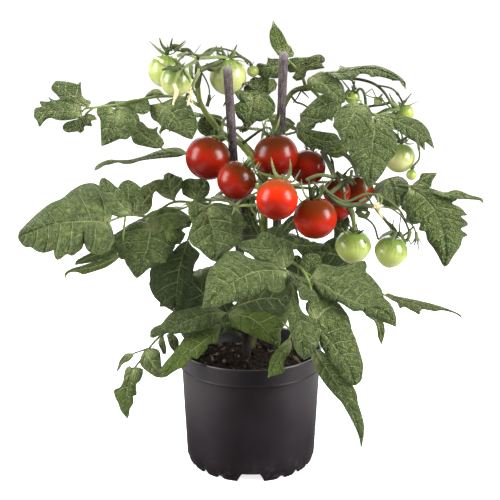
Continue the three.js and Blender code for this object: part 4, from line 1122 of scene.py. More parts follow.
def stake_material():
    """Grained grey-brown bark with pale flecks, a worn tip, and painted shade that darkens it from the foot
    up to about 260 mm.
    """
    look = Look("stake_bark")
    long_way = look.add("ShaderNodeMapping", {0: look.place(), 3: (1, 1, 0.22)}).outputs[0]
    grain = look.noise(520, 4, 0.65, long_way)
    blotch = look.noise(120, 3, 0.6)
    colour = look.mix(look.fade(grain, 0.32, 0.68), paint(42, 33, 36), paint(92, 81, 82))
    colour = look.mix(look.fade(blotch, 0.45, 0.75, 0, 0.55), colour, paint(64, 52, 50))
    colour = look.mix(look.fade(look.noise(1400, 1), 0.6, 0.72, 0, 0.6), colour, paint(160, 150, 148))
    colour = look.mix(look.value("rise"), colour, paint(132, 122, 124))
    up = look.split(look.place())[2]
    # Painted shade: the stake darkens from its foot up to about 260 mm, where the leaves shade it
    colour = look.mix(look.fade(up, 0.17, 0.26, 0.95, 0), colour, paint(20, 16, 12))
    normal = look.bump(look.plus(grain, look.times(blotch, 0.6)), 0.7, 0.5)
    return look.done(look.surface({
        "Base Color": colour, "Roughness": 0.72, "Specular IOR Level": 0.3, "Normal": normal,
    }))


def soil_material():
    """Dark crumbs with a few pale chips, which the tone picks out."""
    look = Look("potting_soil")
    tone = look.value("tone")
    fine = look.noise(700, 5, 0.7)
    colour = look.mix(look.fade(fine, 0.35, 0.7), paint(14, 10, 7), paint(42, 31, 21))
    colour = look.mix(look.fade(tone, 0.5, 1.0), colour, paint(96, 84, 66))
    colour = look.mix(look.fade(look.noise(240, 3), 0.6, 0.8, 0, 0.3), colour, paint(66, 50, 34))
    normal = look.bump(look.plus(fine, look.cells(600, "F1")), 0.9, 0.9)
    return look.done(look.surface({
        "Base Color": colour, "Roughness": 0.95, "Specular IOR Level": 0.2, "Normal": normal,
    }))


def petal_material():
    """Dried petals, straw to cream."""
    look = Look("withered_petal")
    shade = look.noise(420, 4, 0.6)
    colour = look.mix(look.fade(shade, 0.3, 0.7), paint(188, 156, 108), paint(238, 222, 184))
    normal = look.bump(look.noise(1100, 3), 0.6, 0.3)
    return look.done(look.surface({"Base Color": colour, "Roughness": 0.8, "Normal": normal}))


def floor_material():
    """White to the camera; to other rays, as pale as MATT_FLOOR and GLOSSY_FLOOR say."""
    look = Look("floor_white")
    seen = look.surface({
        "Base Color": (0.9, 0.9, 0.9, 1), "Roughness": 0.9, "Specular IOR Level": 0.0,
        "Emission Color": (1, 1, 1, 1), "Emission Strength": 0.78,
    })
    path = look.add("ShaderNodeLightPath")
    across, deep, _ = look.split(look.place())
    away = look.math("MAXIMUM", look.math("ABSOLUTE", across), deep)
    pool = look.times(look.fade(away, 0.08, 0.28), look.fade(away, 0.36, 0.6, 1, 0))
    mirrored = look.math("SUBTRACT", look.fade(pool, 0, 1, *GLOSSY_FLOOR), MATT_FLOOR)
    shade = look.math("MULTIPLY_ADD", path.outputs["Is Glossy Ray"], mirrored, MATT_FLOOR)
    bounced = look.add("ShaderNodeBsdfDiffuse", {"Color": look.grey(shade)})
    inputs = {0: path.outputs["Is Camera Ray"], 1: bounced.outputs[0], 2: seen.outputs[0]}
    return look.done(look.add("ShaderNodeMixShader", inputs))


# ---- Mesh helpers ----------------------------------------------------------------------------


class Shape:
    """Points and faces gathered in millimetres, with a map and two values at each point."""

    def __init__(self):
        self.points, self.faces, self.slots = [], [], []
        self.maps, self.tones, self.rises = [], [], []
        self.count = 0

    def add(self, points, faces, slot=0, place_map=None, tone=0.5, rise=0.0):
        """Adds groups of faces on new points; slot is one for all the groups, or one for each."""
        points = np.asarray(points, float).reshape(-1, 3)
        total = len(points)
        self.points.append(points)
        for group, own_slot in zip(faces, np.broadcast_to(slot, len(faces))):
            self.faces.extend((np.asarray(group, int) + self.count).tolist())
            self.slots.append(np.full(len(group), own_slot))
        self.maps.append(np.zeros((total, 2)) if place_map is None else place_map)
        self.tones.append(np.broadcast_to(tone, total))
        self.rises.append(np.broadcast_to(rise, total))
        self.count += total

    def finish(self, name, nodes, looks, sharp=50):
        """Makes the Blender object, which rides on the body in place of the CAD nodes given."""
        mesh = bpy.data.meshes.new(name)
        mesh.from_pydata(np.vstack(self.points) * MM, [], self.faces)
        for look in looks:
            mesh.materials.append(look)
        mesh.polygons.foreach_set("material_index", np.concatenate(self.slots).astype(np.int32))
        corners = np.zeros(len(mesh.loops), np.int32)
        mesh.loops.foreach_get("vertex_index", corners)
        layer = mesh.uv_layers.new(name=MAP_NAME)
        layer.data.foreach_set("uv", np.vstack(self.maps)[corners].astype(np.float32).ravel())
        for label, values in (("tone", self.tones), ("rise", self.rises)):
            attribute = mesh.attributes.new(label, "FLOAT", "POINT")
            attribute.data.foreach_set("value", np.concatenate(values).astype(np.float32))
        mesh.polygons.foreach_set("use_smooth", np.ones(len(mesh.polygons), bool))
        mesh.set_sharp_from_angle(angle=math.radians(sharp))
        mesh.update()
        made = linked(mesh, name)
        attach(made, BODY)
        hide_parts(*nodes)
        return made


def unit(vector):
    vector = np.asarray(vector, float)
    return vector / np.linalg.norm(vector)


def grid_faces(rows, columns, around=False):
    """Faces of a grid of points, row by row; around joins the last column to the first."""
    wide = columns if around else columns - 1
    row, column = np.meshgrid(np.arange(rows - 1), np.arange(wide), indexing="ij")
    after = (column + 1) % columns
    here = row * columns
    quads = np.stack([here + column, here + after, here + columns + after, here + columns + column], -1)
    return quads.reshape(-1, 4)


def fan_faces(ring, middle, turned=False):
    """Triangles from a ring of point numbers to one middle point."""
    ring = np.asarray(ring)
    after = np.roll(ring, -1)
    pair = (after, ring) if turned else (ring, after)
    return np.stack([pair[0], pair[1], np.full(len(ring), middle)], -1)


def closed_faces(count, sides, inward=False):
    """Faces of count rings of points, closed at both ends by a middle point that follows the rings."""
    body = grid_faces(count, sides, True)
    last = (count - 1) * sides
    start = fan_faces(np.arange(sides), count * sides, not inward)
    end = fan_faces(np.arange(last, last + sides), count * sides + 1, inward)
    return [body[:, ::-1] if inward else body, start, end]


def turns(count):
    """Evenly spaced angles round a circle."""
    return np.linspace(0, 2 * math.pi, count, endpoint=False)


def along_route(route, count):
    """Evenly spaced points on the centripetal curve through a route."""
    points = np.array(route, float)
    ends = np.vstack([2 * points[0] - points[1], points, 2 * points[-1] - points[-2]])
    fine = []
    for start in range(len(ends) - 3):
        before, first, second, after = ends[start:start + 4]
        pairs = ((before, first), (first, second), (second, after))
        gap, own, past = (np.dot(b - a, b - a) ** 0.25 for a, b in pairs)
        lead = ((first - before) / gap - (second - before) / (gap + own)) * own + second - first
        trail = ((after - second) / past - (after - first) / (own + past)) * own + second - first
        share = np.linspace(0, 1, SPAN_POINTS)[:, None]
        if start < len(ends) - 4:
            share = share[:-1]
        square = 3 * (second - first) - 2 * lead - trail
        cube = 2 * (first - second) + lead + trail
        fine.append(first + lead * share + square * share ** 2 + cube * share ** 3)
    fine = np.vstack(fine)
    run = np.concatenate([[0], np.cumsum(np.linalg.norm(np.diff(fine, axis=0), axis=1))])
    wanted = np.linspace(0, run[-1], count)
    return np.column_stack([np.interp(wanted, run, fine[:, axis]) for axis in range(points.shape[1])])


def point_on(curve, share):
    wanted = share * (len(curve) - 1)
    return np.array([np.interp(wanted, np.arange(len(curve)), curve[:, axis]) for axis in range(3)])


def carried_frames(points, hint=None):
    """Two directions square to a path at each point, carried along it without twisting."""
    headings = np.gradient(points, axis=0)
    headings /= np.linalg.norm(headings, axis=1)[:, None]
    if hint is None:
        hint = (0, 0, 1) if abs(headings[0][2]) < 0.9 else (1, 0, 0)
    normal = np.asarray(hint, float)
    normals = []
    for heading in headings:
        normal = unit(normal - heading * np.dot(normal, heading))
        normals.append(normal)
    return np.array(normals), np.cross(headings, normals)


def add_bar(shape, points, radii, sides=10, flat=1.0, hint=None, slot=0, tone=0.5, rise=0.0, ribs=0.0):
    """A closed round or flattened bar along points; flat is its thickness beside its width."""
    points = np.asarray(points, float)
    count = len(points)
    radii = np.broadcast_to(np.asarray(radii, float), count)
    normals, sideways = carried_frames(points, hint)
    turn = turns(sides)
    swell = 1 + ribs * np.cos(5 * turn)
    lift = radii[:, None] * flat * (np.cos(turn) * swell)[None, :]
    spread = radii[:, None] * (np.sin(turn) * swell)[None, :]
    body = points[:, None] + normals[:, None] * lift[..., None] + sideways[:, None] * spread[..., None]
    body = np.vstack([body.reshape(-1, 3), points[:1], points[-1:]])
    shape.add(body, closed_faces(count, sides), slot, tone=tone, rise=rise)


# ---- Leaves ----------------------------------------------------------------------------------


def sight_lines(places):
    """Directions from the camera through places in the frame."""
    ahead = unit(np.subtract(CAMERA_TARGET, CAMERA_PLACE))
    right = np.array([1.0, 0, 0])
    up = np.cross(right, ahead)
    zoom = LENS / SENSOR_WIDTH * FRAME_WIDTH
    offset = (places - FRAME_WIDTH / 2) / zoom
    return ahead + offset[..., :1] * right - offset[..., 1:] * up


def drawn_route(text):
    return np.array([[float(number) for number in place.split(",")] for place in text.split()])


def drawn_grid(drawing, places, hands, chance):
    """A drawing's points in rows from its midrib out to both margins, slanted as side veins are."""
    midrib, *margins = (drawn_route(text) for text in drawing)
    foot, tip = midrib[0], midrib[-1]
    reach = np.linalg.norm(tip - foot)
    axis = (tip - foot) / reach
    run = np.linspace(0, 1, MARGIN_STEPS)
    middle = along_route(midrib, MARGIN_STEPS)
    middle = np.column_stack([np.interp(places, run, middle[:, part]) for part in range(2)])
    sides = []
    for margin in margins:
        edge = along_route(np.vstack([foot, margin, tip]), MARGIN_STEPS)
        offset = (edge - foot) / reach
        beside = np.abs(offset @ (-axis[1], axis[0]))
        onward = np.maximum.accumulate(np.clip(offset @ axis - VEIN_SLANT * beside, 0, 1))
        share = 0.35 * run + 0.65 * onward
        wobble = np.convolve(chance.uniform(-1, 1, MARGIN_STEPS), np.ones(7) / 7, "same")
        outward = edge - foot - axis * (offset @ axis)[:, None] * reach
        edge = edge + wobble[:, None] * MARGIN_WOBBLE * outward / reach
        sides.append(np.column_stack([np.interp(places, share, edge[:, part]) for part in range(2)]))
    margin = np.where((hands < 0)[None, :, None], sides[0][:, None], sides[1][:, None])
    return middle[:, None] + (margin - middle[:, None]) * np.abs(hands)[None, :, None]


def seen_layout(grid, root, face):
    """A drawn grid laid on a leaflet's plane as the camera sees it, and the way that height lifts it."""
    lines = sight_lines(grid)
    slope = lines @ face
    distance = np.dot(root - np.array(CAMERA_PLACE, float), face) / slope
    return np.array(CAMERA_PLACE, float) + lines * distance[..., None], lines / slope[..., None]


def borrowed_layout(grid, root, along, across, face, length, width):
    """A drawn grid stretched to a leaflet's own length and width on its plane."""
    columns = grid.shape[1]
    foot, tip = grid[0, columns // 2], grid[-1, columns // 2]
    reach = np.linalg.norm(tip - foot)
    axis = (tip - foot) / reach
    offset = (grid - foot) / reach
    onward = offset @ axis
    beside = offset @ (-axis[1], axis[0])
    beside = beside * width / (np.ptp(beside) * length)
    onward = STALK_SHARE + (1 - STALK_SHARE) * onward
    points = root + length * (along * onward[..., None] + across * beside[..., None])
    return points, np.broadcast_to(face, points.shape)


def placed(places, depths):
    """The points seen at places in the frame, each at its own depth."""
    lines = sight_lines(places)
    reach = (depths - CAMERA_PLACE[1]) / lines[:, 1]
    return np.array(CAMERA_PLACE, float) + lines * reach[:, None]


def pillows(flat, spacing, chance):
    """0 on the borders between scattered cells and 1 in their middles."""
    low, high = flat.min(0) - spacing, flat.max(0) + spacing
    lines = (np.arange(start, end, spacing) for start, end in zip(low, high))
    grid = np.stack(np.meshgrid(*lines), -1)
    seeds = grid.reshape(-1, 2) + chance.uniform(-0.42, 0.42, (grid.size // 2, 2)) * spacing
    away = np.linalg.norm(flat[:, None] - seeds[None], axis=2)
    nearest = np.partition(away, 1, axis=1)[:, :2]
    return np.clip((nearest[:, 1] - nearest[:, 0]) / spacing / 0.7, 0, 1) ** 0.6


def leaflet_plan(root, tip, width, face, places, hands, drawing, chance):
    """The leaflet's points on its plane, the way that height lifts each, its length and its width."""
    if drawing:
        laid, lift = seen_layout(drawn_grid(drawing, places, hands, chance), root, face)
        middle = len(hands) // 2
        length = np.linalg.norm(laid[-1, middle] - laid[0, middle])
        return laid, lift, length, np.linalg.norm(laid[:, 0] - laid[:, -1], axis=1).max()
    length = np.linalg.norm(tip - root)
    along = (tip - root) / length
    closeness = [abs(slimness(DRAWN[leaf][number]) - width / length) for leaf, number in BORROWED]
    nearest = np.argsort(closeness)[:3]
    leaf, number = BORROWED[chance.choice(nearest)]
    borrowed = drawn_grid(DRAWN[leaf][number], places, hands, chance)
    laid, lift = borrowed_layout(borrowed, root, along, np.cross(along, face), face, length, width)
    return laid, lift, length, width


def leaflet_height(place, hand, spread, length, width, bow, quilt, chance):
    """Height of the blade over its plane: bow, folded halves, puffed fields, waved margin and droop."""
    puff = np.clip(PUFF * width, *PUFF_LIMITS)
    height = bow * length * 4 * place * (1 - place)
    height += width / 2 * (FOLD * spread * (1 - 0.5 * place) - CUP * spread ** 2)
    height += puff * quilt * spread ** 0.5 * (1 - spread ** 4)
    waves = chance.uniform(1.6, 2.6)
    start = chance.uniform(0, 1, 2)
    phase = place * waves + np.where(hand > 0, start[0], start[1])
    height += WAVE * width * np.sin(2 * math.pi * phase) * spread ** 2.4
    return height - DROOP * length * np.clip(place - DROOP_START, 0, 1) ** 2


def rim_faces(rows, columns):
    """Faces that join the edge of one grid of points to the edge of the grid that follows it."""
    total = rows * columns
    edge = np.concatenate([
        np.arange(columns), np.arange(1, rows) * columns + columns - 1,
        (rows - 1) * columns + np.arange(columns - 2, -1, -1), np.arange(rows - 2, 0, -1) * columns,
    ])
    after = np.roll(edge, -1)
    return np.stack([edge, after, after + total, edge + total], -1)


def add_leaflet(shape, root, tip, width, facing, bow, tone, seed, drawing):
    """A thin closed blade with a sunken midrib, puckers between its side veins and a waved margin."""
    chance = np.random.default_rng(seed)
    root, tip = np.asarray(root, float), np.asarray(tip, float)
    length = np.linalg.norm(tip - root)
    along = (tip - root) / length
    face = unit(np.asarray(facing, float) - along * np.dot(facing, along))
    rows = max(14, int(length / LEAF_STEP))
    columns = 2 * max(5, int(width / LEAF_STEP / 2)) + 1
    places = np.linspace(0, 1, rows)
    hands = np.linspace(-1, 1, columns)
    place, hand = np.meshgrid(places, hands, indexing="ij")
    laid, lift, length, width = leaflet_plan(root, tip, width, face, places, hands, drawing, chance)

    veins = int(np.clip(round(length / VEIN_SPACING), 3, 8))
    spread = np.abs(hand)
    run = place * veins - VEIN_BEND * spread ** 2
    phase = run + np.where(hand > 0, STAGGER, 0)
    quilt = np.abs(np.sin(math.pi * (phase - 0.5))) ** 0.7
    height = leaflet_height(place, hand, spread, length, width, bow, quilt, chance)
    beside = spread * np.linalg.norm(laid[:, :1] - laid[:, -1:], axis=2) / 2 * np.sign(hand)
    flat = np.column_stack([phase.ravel() * length / veins, beside.ravel() * 0.6])
    puckers = pillows(flat, PUCKER_SPACING, chance).reshape(place.shape)
    height += PUCKER_HEIGHT * puckers * np.clip(spread * 5, 0, 1) * np.clip(width / 34, 0.3, 1)

    middle = laid + lift * height[..., None]
    normal = np.cross(np.gradient(middle, axis=1), np.gradient(middle, axis=0))
    normal /= np.linalg.norm(normal, axis=2)[..., None] + 1e-12
    if np.sum(normal @ face) < 0:
        normal = -normal
    thick = LEAF_THICKNESS * np.where((spread > 0.99) | (place > 0.99), 0.4, 1.0)
    upper = middle + normal * thick[..., None] / 2
    lower = middle - normal * thick[..., None] / 2
    points = np.vstack([upper.reshape(-1, 3), lower.reshape(-1, 3)])
    top = grid_faces(rows, columns)
    rim = rim_faces(rows, columns)
    up = np.cross(middle[0, 1] - middle[0, 0], middle[1, 0] - middle[0, 0])
    if np.dot(up, normal[0, 0]) < 0:
        faces = [top[:, ::-1], top + rows * columns, rim]
    else:
        faces = [top, top[:, ::-1] + rows * columns, rim[:, ::-1]]
    leaf_map = np.stack([hand / 2 + 0.5, run], -1).reshape(-1, 2)
    shape.add(points, faces, (0, 1, 1), np.tile(leaf_map, (2, 1)), tone, np.tile(np.abs(beside).ravel(), 2))

    rib = lower[:, columns // 2] - face * 0.15
    rib_start = root - face * 0.2
    path = np.vstack([rib_start, (rib_start + rib[0]) / 2, rib[:-1:2]])
    add_bar(shape, path, np.linspace(0.95, 0.22, len(path)), 6, slot=2, tone=tone)


def slimness(drawing):
    """A drawing's width as a share of its length."""
    midrib, first, second = (drawn_route(text) for text in drawing)
    axis = unit(midrib[-1] - midrib[0])
    beside = (np.vstack([first, second]) - midrib[0]) @ (-axis[1], axis[0])
    return np.ptp(beside) / np.linalg.norm(midrib[-1] - midrib[0])


def back_leaf(root_height, compass, reach, end_height, size):
    """A leaf at the back, by rule: its stalk rises from the stem and arches over outwards."""
    heading = math.radians(compass)
    route = np.array(STEM_ROUTES[0][0], float)
    root = np.array([np.interp(root_height, route[:, 2], route[:, axis]) for axis in range(3)])
    end = np.array([reach * math.cos(heading), reach * math.sin(heading), end_height])
    middle = (root + end) / 2 + (0, 0, 14 * size)
    curve = along_route([root, middle, end], CURVE_POINTS)
    leaflets = []
    for place, turn, length, drop, width in BACK_LEAFLETS:
        angle = heading + math.radians(turn)
        out = np.array([math.cos(angle), math.sin(angle), 0])
        tip = point_on(curve, place) + size * (length * out - (0, 0, drop))
        leaflets.append((place, tip, size * width, tuple(0.5 * out[:2]) + (1,), 0.1, 0.42))
    return [root, middle, end], leaflets


def make_leaf(name, route, leaflets, looks, seed):
    """One compound leaf: its stalk, and its leaflets with a drawing each or a borrowed one."""
    shape = Shape()
    curve = along_route(route, CURVE_POINTS)
    steps = 8 * (len(route) - 1) + 1
    radii = np.linspace(STALK_RADIUS * 1.15, STALK_RADIUS * 0.62, steps)
    add_bar(shape, along_route(route, steps), radii, slot=2, ribs=0.06)
    for number, (place, tip, width, facing, bow, tone) in enumerate(leaflets):
        drawing = DRAWN.get(name, {}).get(number)
        add_leaflet(shape, point_on(curve, place), tip, width, facing, bow, tone, seed + number, drawing)
    shape.finish(name + "_leaf", ["leaf_" + name], looks)


def make_leaves(looks):
    """The leaves that the front view shows, then those at the back."""
    whole = dict(LEAVES)
    for name, rule in BACK_LEAVES.items():
        whole[name] = back_leaf(*rule)
    for number, (name, (route, leaflets)) in enumerate(whole.items()):
        make_leaf(name, route, leaflets, looks, 100 * number + 7)


# ---- Fruit and trusses -----------------------------------------------------------------------


def fruit_axes(stem_end):
    up = unit(stem_end)
    side = unit(np.cross(up, (0.3, 1, 0.1)))
    return side, np.cross(up, side), up


def stem_end_of(fruit):
    centre, radius, stem_end, _ = fruit
    return np.array(centre, float) + unit(stem_end) * radius * (FRUIT_HEIGHT - DIMPLE_DEPTH)


def make_fruit(name, fruit, look, slot, seed):
    """A slightly flattened ball with a dimple at its stem end and faint lobes."""
    centre, radius, stem_end, tone = fruit
    radius = radius * SWELL[slot]
    chance = np.random.default_rng(seed)
    side, front, up = fruit_axes(stem_end)
    turn = np.linspace(0, math.pi, FRUIT_RINGS)[1:-1]
    turn, angle = np.meshgrid(turn, turns(FRUIT_SIDES), indexing="ij")
    start = chance.uniform(0, 6, 2)
    shoulders = np.clip(-np.cos(turn), 0, 1)
    lobes = 1 + SHOULDER_LOBES * shoulders * np.cos(4 * angle + start[0])
    lobes += WHOLE_LOBES * np.cos(2 * angle + start[1])
    taper = 1 - FRUIT_TAPER.get(name, 0.0) * np.clip(np.cos(turn), 0, 1)
    reach = radius * np.sin(turn) * lobes * taper
    height = -FRUIT_HEIGHT * radius * np.cos(turn)
    dip = DIMPLE_DEPTH * radius * np.exp(-(reach / (DIMPLE_WIDTH * radius)) ** 2)
    height = height - np.where(height > 0, dip, 0)
    body = (reach * np.cos(angle))[..., None] * side + (reach * np.sin(angle))[..., None] * front
    body = np.array(centre, float) + body + height[..., None] * up
    ends = [np.array(centre) - up * FRUIT_HEIGHT * radius,
            np.array(centre) + up * radius * (FRUIT_HEIGHT - DIMPLE_DEPTH)]
    points = np.vstack([body.reshape(-1, 3), ends])
    rise = np.concatenate([((1 - np.cos(turn)) / 2).ravel(), [0, 1]])
    fruit_map = np.column_stack([np.append(angle.ravel() / (2 * math.pi), [0, 0]), rise])
    shape = Shape()
    shape.add(points, closed_faces(FRUIT_RINGS - 2, FRUIT_SIDES), 0, fruit_map, tone, rise)
    shape.finish(name + "_skin", [name], [look])


def add_sepals(shape, fruit, seed, count, curl):
    """Narrow pointed sepals that spread from the stalk over the fruit's shoulders and curl up."""
    _, radius, stem_end, _ = fruit
    chance = np.random.default_rng(seed)
    side, front, up = fruit_axes(stem_end)
    heart = stem_end_of(fruit) + up * (2 * PEDICEL_GAP + 0.6)
    add_bar(shape, [heart - up * 0.9, heart, heart + up * 0.7], [1.6, 2.1, 1.3])
    share = np.linspace(0, 1, SEPAL_STEPS)
    widths = np.interp(share, *zip(*SEPAL_WIDTHS)) * min(1, radius / 15 + 0.15)
    for sepal in range(count):
        angle = 2 * math.pi * (sepal + chance.uniform(-0.2, 0.2)) / count
        out = side * math.cos(angle) + front * math.sin(angle)
        tangent = np.cross(up, out)
        length = radius * SEPAL_LENGTH * chance.uniform(0.85, 1.2)
        bend = curl * chance.uniform(0.7, 1.3)
        twist = chance.uniform(-0.25, 0.25)
        rise_angle = 0.12 + bend * share ** 1.4
        step = length / (SEPAL_STEPS - 1)
        outward = np.concatenate([[0], np.cumsum(np.cos(rise_angle[:-1]) * step)])
        upward = np.concatenate([[0], np.cumsum(np.sin(rise_angle[:-1]) * step)])
        sideways = twist * length * share ** 2
        path = heart + outward[:, None] * out + upward[:, None] * up + sideways[:, None] * tangent
        add_bar(shape, path, widths, 8, flat=0.3, hint=up)


def add_pedicel(shape, way, fruit, seed):
    """A fruit's own stalk, with the swollen knee that a tomato's has."""
    chance = np.random.default_rng(seed)
    up = unit(fruit[2])
    end = stem_end_of(fruit) + up * PEDICEL_GAP
    above = end + up * min(7, fruit[1] * 0.45)
    route = [np.array(point, float) for point in way] + [above, end]
    count = 12 * (len(route) - 1) + 1
    share = np.linspace(0, 1, count)
    knee = chance.uniform(0.55, 0.68)
    radii = PEDICEL_RADIUS * (0.95 + 0.75 * np.exp(-((share - knee) / 0.035) ** 2) + 0.5 * share ** 6)
    add_bar(shape, along_route(route, count), radii, slot=1)


def add_strand(shape, look, text, depths, radii):
    """A drawn sepal, petal or thin stalk; all but the stalks are flat towards the front."""
    places = drawn_route(text)
    count = 7 * (len(places) - 1) + 1
    share = np.linspace(0, 1, count)
    route = placed(along_route(places, count), depths[0] + (depths[1] - depths[0]) * share)
    widths = radii[0] + (radii[1] - radii[0]) * share ** 1.4
    flat = 1.0 if look == "stalk" else 0.4
    add_bar(shape, route, widths, flat=flat, hint=(0, -1, 0.2), slot=STRAND_LOOKS.index(look))


def make_truss(name, stalk, carried, looks, seed):
    """A truss's stalk, each fruit's own stalk and sepals, and the thin parts drawn from the front."""
    fruits = {**RED_FRUIT, **GREEN_FRUIT}
    shape = Shape()
    steps = 12 * (len(stalk) - 1) + 1
    radii = np.linspace(STALK_RADIUS * 1.1, STALK_RADIUS * 0.7, steps)
    add_bar(shape, along_route(stalk, steps), radii, 12, slot=1, ribs=0.05)
    for number, (fruit_name, way) in enumerate(carried):
        fruit = fruits[fruit_name]
        sepals = YOUNG_SEPALS if fruit_name in GREEN_FRUIT else RIPE_SEPALS
        add_pedicel(shape, way, fruit, seed + number)
        add_sepals(shape, fruit, seed + 50 + number, *sepals)
    for strand in STRANDS.get(name, []):
        add_strand(shape, *strand)
    shape.finish(name + "_stalks", [name], looks)


# ---- Stem, stakes, soil and pot --------------------------------------------------------------


def make_stem(look):
    """The main stem and its branches, with a few swollen nodes on each."""
    shape = Shape()
    for number, (route, start, end) in enumerate(STEM_ROUTES):
        count = 16 * (len(route) - 1) + 1
        chance = np.random.default_rng(31 + number)
        share = np.linspace(0, 1, count)
        radii = np.linspace(start, end, count)
        for _ in range(4):
            radii = radii * (1 + 0.09 * np.exp(-((share - chance.uniform(0.1, 0.95)) / 0.025) ** 2))
        add_bar(shape, along_route(route, count), radii, 20, ribs=0.05)
    shape.finish("stem_skin", ["stem"], [look])


def make_stake(name, foot, top, look, seed):
    """A slightly uneven bar with a blunt tip, which gets paler towards the tip."""
    chance = np.random.default_rng(seed)
    foot, top = np.array(foot, float), np.array(top, float)
    length = np.linalg.norm(top - foot)
    tip_places = length - STAKE_CROWN * np.cos(np.linspace(0.25, 1.5, 8))
    places = np.concatenate([np.linspace(0, length - STAKE_CROWN, 96), tip_places])
    crown = np.clip((places - (length - STAKE_CROWN)) / STAKE_CROWN, 0, 1)
    radii = STAKE_RADIUS * np.sqrt(np.clip(1 - crown ** 2.2, 0.002, 1))
    radii = radii * (1 + 0.018 * np.sin(places * 0.11 + seed) + chance.uniform(-0.012, 0.012, len(places)))
    points = foot + (top - foot) / length * places[:, None]
    worn = STAKE_WEAR * np.clip((places - (length - STAKE_WORN)) / STAKE_WORN, 0, 1)
    rise = np.append(np.repeat(worn, STAKE_SIDES), [0, STAKE_WEAR])
    shape = Shape()
    add_bar(shape, points, radii, STAKE_SIDES, rise=rise)
    shape.finish(name + "_bark", [name], [look])


def soil_height(x, y):
    """Height of the soil's mounded and lumpy top."""
    reach = np.hypot(x, y) / SOIL_RADIUS
    mound = (SOIL_MOUND_HEIGHT - SOIL_EDGE_HEIGHT) * np.cos(np.clip(reach, 0, 1) * math.pi / 2)
    height = SOIL_EDGE_HEIGHT + mound
    lumps = 1.1 * np.sin(0.21 * x + 1.3) * np.sin(0.19 * y + 0.4) + 0.7 * np.sin(0.47 * x - 0.31 * y + 2)
    lumps += 0.45 * np.sin(0.83 * y + 0.52 * x) * np.sin(0.71 * x + 1.1)
    return height + lumps * np.clip((1 - reach) * 6, 0, 1)


def make_soil(look):
    """A closed body with a rough mounded top, and crumbs on it."""
    chance = np.random.default_rng(5)
    shape = Shape()
    reach = np.linspace(0, 1, SOIL_RINGS)[1:] * SOIL_RADIUS
    reach, turn = np.meshgrid(reach, turns(SOIL_SIDES), indexing="ij")
    x, y = reach * np.cos(turn), reach * np.sin(turn)
    rough = chance.uniform(-0.55, 0.55, x.shape) * (reach < SOIL_RADIUS - 1)
    top = np.stack([x, y, soil_height(x, y) + rough], -1)
    across, deep = np.cos(turn[0]), np.sin(turn[0])
    skirt = [np.column_stack([radius * across, radius * deep, np.full(SOIL_SIDES, height)])
             for radius, height in SOIL_SKIRT]
    ends = [(0, 0, float(soil_height(0.0, 0.0))), (0, 0, SOIL_FLOOR)]
    body = np.vstack([top.reshape(-1, 3), *skirt, ends])
    shape.add(body, closed_faces(SOIL_RINGS - 1 + len(skirt), SOIL_SIDES, True), tone=0.3)
    for _ in range(CRUMBS):
        add_crumb(shape, chance)
    shape.finish("soil_surface", ["soil"], [look], 35)


def add_crumb(shape, chance):
    """One lump, chip or fibre of potting soil, half sunk in the surface."""
    reach = SOIL_RADIUS * 0.94 * math.sqrt(chance.uniform())
    turn = chance.uniform(0, 2 * math.pi)
    x, y = reach * math.cos(turn), reach * math.sin(turn)
    size = 0.7 + 2.0 * chance.uniform() ** 2.5
    kind = chance.uniform()
    stretch = (chance.uniform(1.6, 3.6), 0.7, 0.6) if kind > 0.75 else chance.uniform(0.7, 1.25, 3)
    polar = np.linspace(0, math.pi, CRUMB_RINGS)[1:-1]
    polar, around = np.meshgrid(polar, turns(CRUMB_SIDES), indexing="ij")
    ball = np.stack([np.sin(polar) * np.cos(around), np.sin(polar) * np.sin(around), np.cos(polar)], -1)
    ball = np.vstack([ball.reshape(-1, 3), [(0, 0, 1), (0, 0, -1)]])
    ball *= chance.uniform(0.75, 1.2, (len(ball), 1)) * np.asarray(stretch) * size
    spin = chance.uniform(0, math.pi)
    tilt = chance.uniform(-0.6, 0.6)
    cosine, sine = math.cos(spin), math.sin(spin)
    spun = np.array([[cosine, -sine, 0], [sine, cosine, 0], [0, 0, 1]])
    cosine, sine = math.cos(tilt), math.sin(tilt)
    tilted = np.array([[cosine, 0, -sine], [0, 1, 0], [sine, 0, cosine]])
    ball = ball @ (spun @ tilted).T
    height = float(soil_height(np.array(x), np.array(y))) + size * 0.15
    bright = chance.uniform()
    tone = 0.95 if bright > 0.9 else 0.2 + 0.5 * bright
    shape.add(ball + (x, y, height), closed_faces(CRUMB_RINGS - 2, CRUMB_SIDES, True), tone=tone)


def foot_cut_height(angle):
    """How far the foot's lower edge is cut away at an angle: an arch and three notches a quarter."""
    quarter = math.pi / 2
    away = (angle + quarter / 2) % quarter - quarter / 2
    run = np.abs(away) * POT_OUTSIDE[0][0]
    slope = (ARCH_HALF_WIDTH - run) / (ARCH_HALF_WIDTH - ARCH_FLAT_HALF_WIDTH)
    height = ARCH_HEIGHT * np.clip(slope, 0, 1) ** 0.8
    for notch, rise in NOTCHES:
        run = np.abs(angle % quarter - math.radians(notch)) * POT_OUTSIDE[0][0]
        height = np.maximum(height, rise * np.clip((NOTCH_HALF_WIDTH - run) / NOTCH_SLOPE, 0, 1) ** 1.4)
    return height


